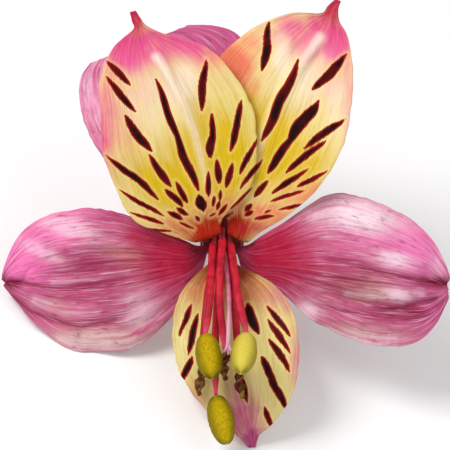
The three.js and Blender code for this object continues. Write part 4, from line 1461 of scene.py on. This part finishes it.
@dataclass(frozen=True)
class StyleAndStigma:
    """The style between the filaments, with three small spreading stigma lobes on its end."""

    path: tuple[Point3, ...] = ((0.4, -2.9, 4.0), (1.1, -9.2, 9.3), (1.0, -17.2, 11.8))
    lobe_length: float = 1.5
    lobe_radius: float = 0.3
    spread: float = 0.9

    def build(self, maker: PieceMaker, material: bpy.types.Material) -> None:
        """Builds the style's piece.

        Args:
            maker: what makes the piece.
            material: its finish.
        """
        path = tube_path(0.0, 0.0, self.path)
        whole, _, share = Rod(path, 20, 90).build(self.style_radius)
        zones = [ease(0.75, 1.0, share)]
        end, before = np.asarray(path[-1]), smooth_curve(path, np.array([0.97]))[0]
        way = (end - before) / np.linalg.norm(end - before)
        side = np.cross(way, [0.0, 0.0, 1.0])
        side /= np.linalg.norm(side)
        for lobe in range(3):
            turn = 2 * math.pi * lobe / 3 + math.pi / 2
            out = side * math.cos(turn) + np.cross(way, side) * math.sin(turn)
            lobe_path = tuple(
                tuple(end + way * (self.lobe_length * part - 0.2) + out * (0.12 + self.spread * part**2))
                for part in (0.0, 0.35, 0.7, 1.0)
            )
            bud, _, lobe_share = Rod(lobe_path, 14, 16).build(self.stigma_radius)
            piece = bpy.data.meshes.new("lobe")
            bud.to_mesh(piece)
            bud.free()
            whole.from_mesh(piece)
            bpy.data.meshes.remove(piece)
            zones.append(np.ones(len(lobe_share)))
        mesh = maker.mesh_from(whole, "style_with_stigma")
        numbers_on(mesh, END_ZONE, np.concatenate(zones))
        maker.piece(mesh, "style", "style", material)

    def style_radius(self, angle: np.ndarray, share: np.ndarray) -> np.ndarray:
        """Radius of the style: three faint flutes, and thinner towards its end."""
        return STYLE_RADIUS * (1 - 0.15 * share) * (1 + 0.08 * np.cos(3 * angle))

    def stigma_radius(self, angle: np.ndarray, share: np.ndarray) -> np.ndarray:
        """Radius of a stigma lobe, with a round end."""
        rounding = np.sqrt(np.clip(1.02 - share**6, 0.05, 1))
        return self.lobe_radius * (1 - 0.35 * share) * rounding


@dataclass(frozen=True)
class Stalk:
    """The ribbed ovary and the cut pedicel under it."""

    ribs: int = 6
    rib_depth: float = 0.16
    bulge: float = 0.15

    def build(self, maker: PieceMaker, material: bpy.types.Material) -> None:
        """Builds the ovary and the pedicel.

        Args:
            maker: what makes the pieces.
            material: their finish.
        """
        top = OUTER_RING + OVARY_RIM
        widest = top + self.bulge
        shares = np.array([0.0, 0.12, 0.35, 0.62, 0.86, 1.0])
        sizes = np.array([PEDICEL_RADIUS + GAP, 0.7 * widest, 0.93 * widest, widest, 0.98 * widest, top])

        def swelling(angle: np.ndarray, share: np.ndarray) -> np.ndarray:
            """Radius of the ovary, with rounded ribs and grooves."""
            body = np.interp(share, shares, sizes)
            rib = self.rib_depth * np.cos(self.ribs * angle) * ease(0.0, 0.2, share)
            return body + rib + 0.03 * ripple(angle * 5 + 20, share * 9, 51)

        spine = ((0.0, 0.0, -OVARY_LENGTH), (0.0, 0.0, -OVARY_LENGTH / 2), (0.0, 0.0, 0.0))
        bm, angle, share = Rod(spine, 96, 50).build(swelling)
        mesh = maker.mesh_from(bm, "swelling_ovary")
        pale_ribs = 0.5 * ease(0.3, 1.0, np.cos(self.ribs * angle))
        numbers_on(mesh, END_ZONE, pale_ribs + 0.3 * ease(0.8, 1, share))
        numbers_on(mesh, STAIN_ZONE, ease(0.96, 0.995, share))
        maker.piece(mesh, "ovary", "green_stalk", material)
        path = []
        for part in (0.0, 0.1, 0.4, 0.7, 1.0):
            turn = math.radians(PEDICEL_BEND) * part / 2
            run = PEDICEL_LENGTH * part
            path.append((0.0, -run * math.sin(turn), -OVARY_LENGTH - GAP - run * math.cos(turn)))
        bm, _, share = Rod(tuple(path), 40, 50).build(self.pedicel_radius)
        mesh = maker.mesh_from(bm, "cut_pedicel")
        numbers_on(mesh, END_ZONE, ease(0.985, 1.0, share))
        maker.piece(mesh, "pedicel", "green_stalk", material)

    def pedicel_radius(self, angle: np.ndarray, share: np.ndarray) -> np.ndarray:
        """Radius of the pedicel, faintly fluted and uneven."""
        uneven = 0.03 * ripple(angle * 3, share * 8, 52)
        return PEDICEL_RADIUS * (1 + 0.04 * np.cos(5 * angle) + uneven)


# ---------------------------------------------------------------- studio


@dataclass(frozen=True)
class Panel:
    """A soft light: its place in the bloom's frame, its power in watts and its size in metres."""

    name: str
    place: Point3
    power: float
    size: float


PANELS = (
    Panel("key_panel", (-260.0, 330.0, 520.0), 2.9, 0.26),
    Panel("fill_panel", (380.0, 60.0, 460.0), 0.5, 0.45),
    Panel("low_panel", (-60.0, -360.0, 420.0), 0.3, 0.40),
)


@dataclass(frozen=True)
class Studio:
    """A plain pale floor, soft lights and a camera that looks down the bloom's axis."""

    frame_width: float = 72.0
    lens: float = 600.0
    sensor: float = 36.0
    aim: Point3 = (0.48, 1.92, 12.0)
    lit_point: Point3 = (0.0, 0.0, 8.0)
    surround: float = 0.56
    floor_half: float = 3.0
    floor_shades: Point2 = (0.95, 0.98)

    def build(self, seat: Seat) -> None:
        """Sets the scene.

        Args:
            seat: where the bloom sits.
        """
        self.floor()
        self.lights(seat)
        self.camera(seat)

    def floor(self) -> None:
        """Lays the floor under the bloom."""
        bm = bmesh.new()
        bmesh.ops.create_grid(bm, x_segments=4, y_segments=4, size=self.floor_half)
        mesh = bpy.data.meshes.new("pale_floor")
        bm.to_mesh(mesh)
        bm.free()
        board = NodeBoard("pale_floor_finish")
        cloud = board.noise(board.solid_place(), 3.0)
        dull, bright = self.floor_shades
        colour = board.blend(cloud, (dull, dull, dull, 1.0), (bright, bright, bright, 1.0))
        board.surface(colour, None, 0.8)
        mesh.materials.append(board.material)
        floor = bpy.data.objects.new("pale_floor", mesh)
        bpy.context.scene.collection.objects.link(floor)

    def lights(self, seat: Seat) -> None:
        """Hangs three soft lights round the camera's side, and a white surround."""
        scene = bpy.context.scene
        scene.world = bpy.data.worlds.new("white_surround")
        scene.world.use_nodes = True
        background = scene.world.node_tree.nodes["Background"]
        background.inputs["Color"].default_value = (1, 1, 1, 1)
        background.inputs["Strength"].default_value = self.surround
        target = Vector(seat.carry(np.array(self.lit_point)))
        for panel in PANELS:
            data = bpy.data.lights.new(panel.name, "AREA")
            data.energy, data.size = panel.power, panel.size
            light = bpy.data.objects.new(panel.name, data)
            spot = Vector(seat.carry(np.array(panel.place)))
            turned = (target - spot).to_track_quat("-Z", "Y").to_matrix().to_4x4()
            light.matrix_world = Matrix.Translation(spot) @ turned
            scene.collection.objects.link(light)

    def camera(self, seat: Seat) -> None:
        """Looks straight into the throat, with the face upright in the frame."""
        data = bpy.data.cameras.new("face_camera")
        data.lens, data.sensor_width = self.lens, self.sensor
        data.clip_start, data.clip_end = 0.05, 20.0
        distance = self.frame_width * self.lens / self.sensor
        spot = seat.carry(np.array(self.aim) + np.array([0.0, 0.0, distance]))
        turned = np.eye(4)
        turned[:3, :3] = seat.turn
        turned[:3, 3] = spot
        camera = bpy.data.objects.new("face_camera", data)
        camera.matrix_world = Matrix(turned.tolist())
        bpy.context.scene.collection.objects.link(camera)
        bpy.context.scene.camera = camera
        bpy.context.scene.view_settings.view_transform = "Standard"


# ---------------------------------------------------------------- the whole bloom


def flesh_finishes() -> dict[str, bpy.types.Material]:
    """Materials of the solid pieces, by slot."""
    kinds = {
        "filament": FleshFinish(
            "filament_flesh", 0xC41630, 0x9C0822, 0xD8506C, mottle=500.0, rough=0.45,
        ),
        # The dark olive third shade is painted shade on the anthers' flanks, seam and ends; the pale stain
        # is the right anther's paler pollen with a painted highlight in the middle.
        "fresh_anther": FleshFinish(
            "pollen_coat", 0xBCA206, 0xA48800, 0x5E5200,
            mottle=2600.0, grain=0.00012, rough=0.66, gloss=0.1, stain=0xDCCC58,
        ),
        "spent_anther": FleshFinish(
            "spent_husk", 0x8A6A20, 0x4A2E10, 0x561018,
            mottle=1100.0, grain=0.00014, rough=0.6, gloss=0.15,
        ),
        "style": FleshFinish(
            "style_flesh", 0xD27A94, 0xBC5A7A, 0xE2A8BE, mottle=600.0, rough=0.4,
        ),
        "green_stalk": FleshFinish(
            "green_flesh", 0x7E9A48, 0x66863C, 0xA9B878,
            mottle=450.0, grain=0.0001, gloss=0.3,
        ),
    }
    return {slot: finish.material() for slot, finish in kinds.items()}


def main() -> None:
    """Builds the bloom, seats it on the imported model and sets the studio."""
    logging.basicConfig(level=logging.INFO, format="%(name)s: %(message)s")
    seat = Seat.fitted(frame["nodes"], TEPALS)
    maker = PieceMaker(seat)
    tissues = {
        slot: (finish.material(), finish.back().material())
        for slot, finish in TEPAL_FINISHES.items()
    }
    for tepal in TEPALS:
        TepalSheet(tepal).build(maker, *tissues[tepal.slot])
    finishes = flesh_finishes()
    for stamen in STAMENS:
        stamen.build(maker, finishes)
    StyleAndStigma().build(maker, finishes["style"])
    Stalk().build(maker, finishes["green_stalk"])
    Studio().build(seat)
    LOG.info("%d pieces made", len(maker.made))


if __name__ == "__main__":
    main()
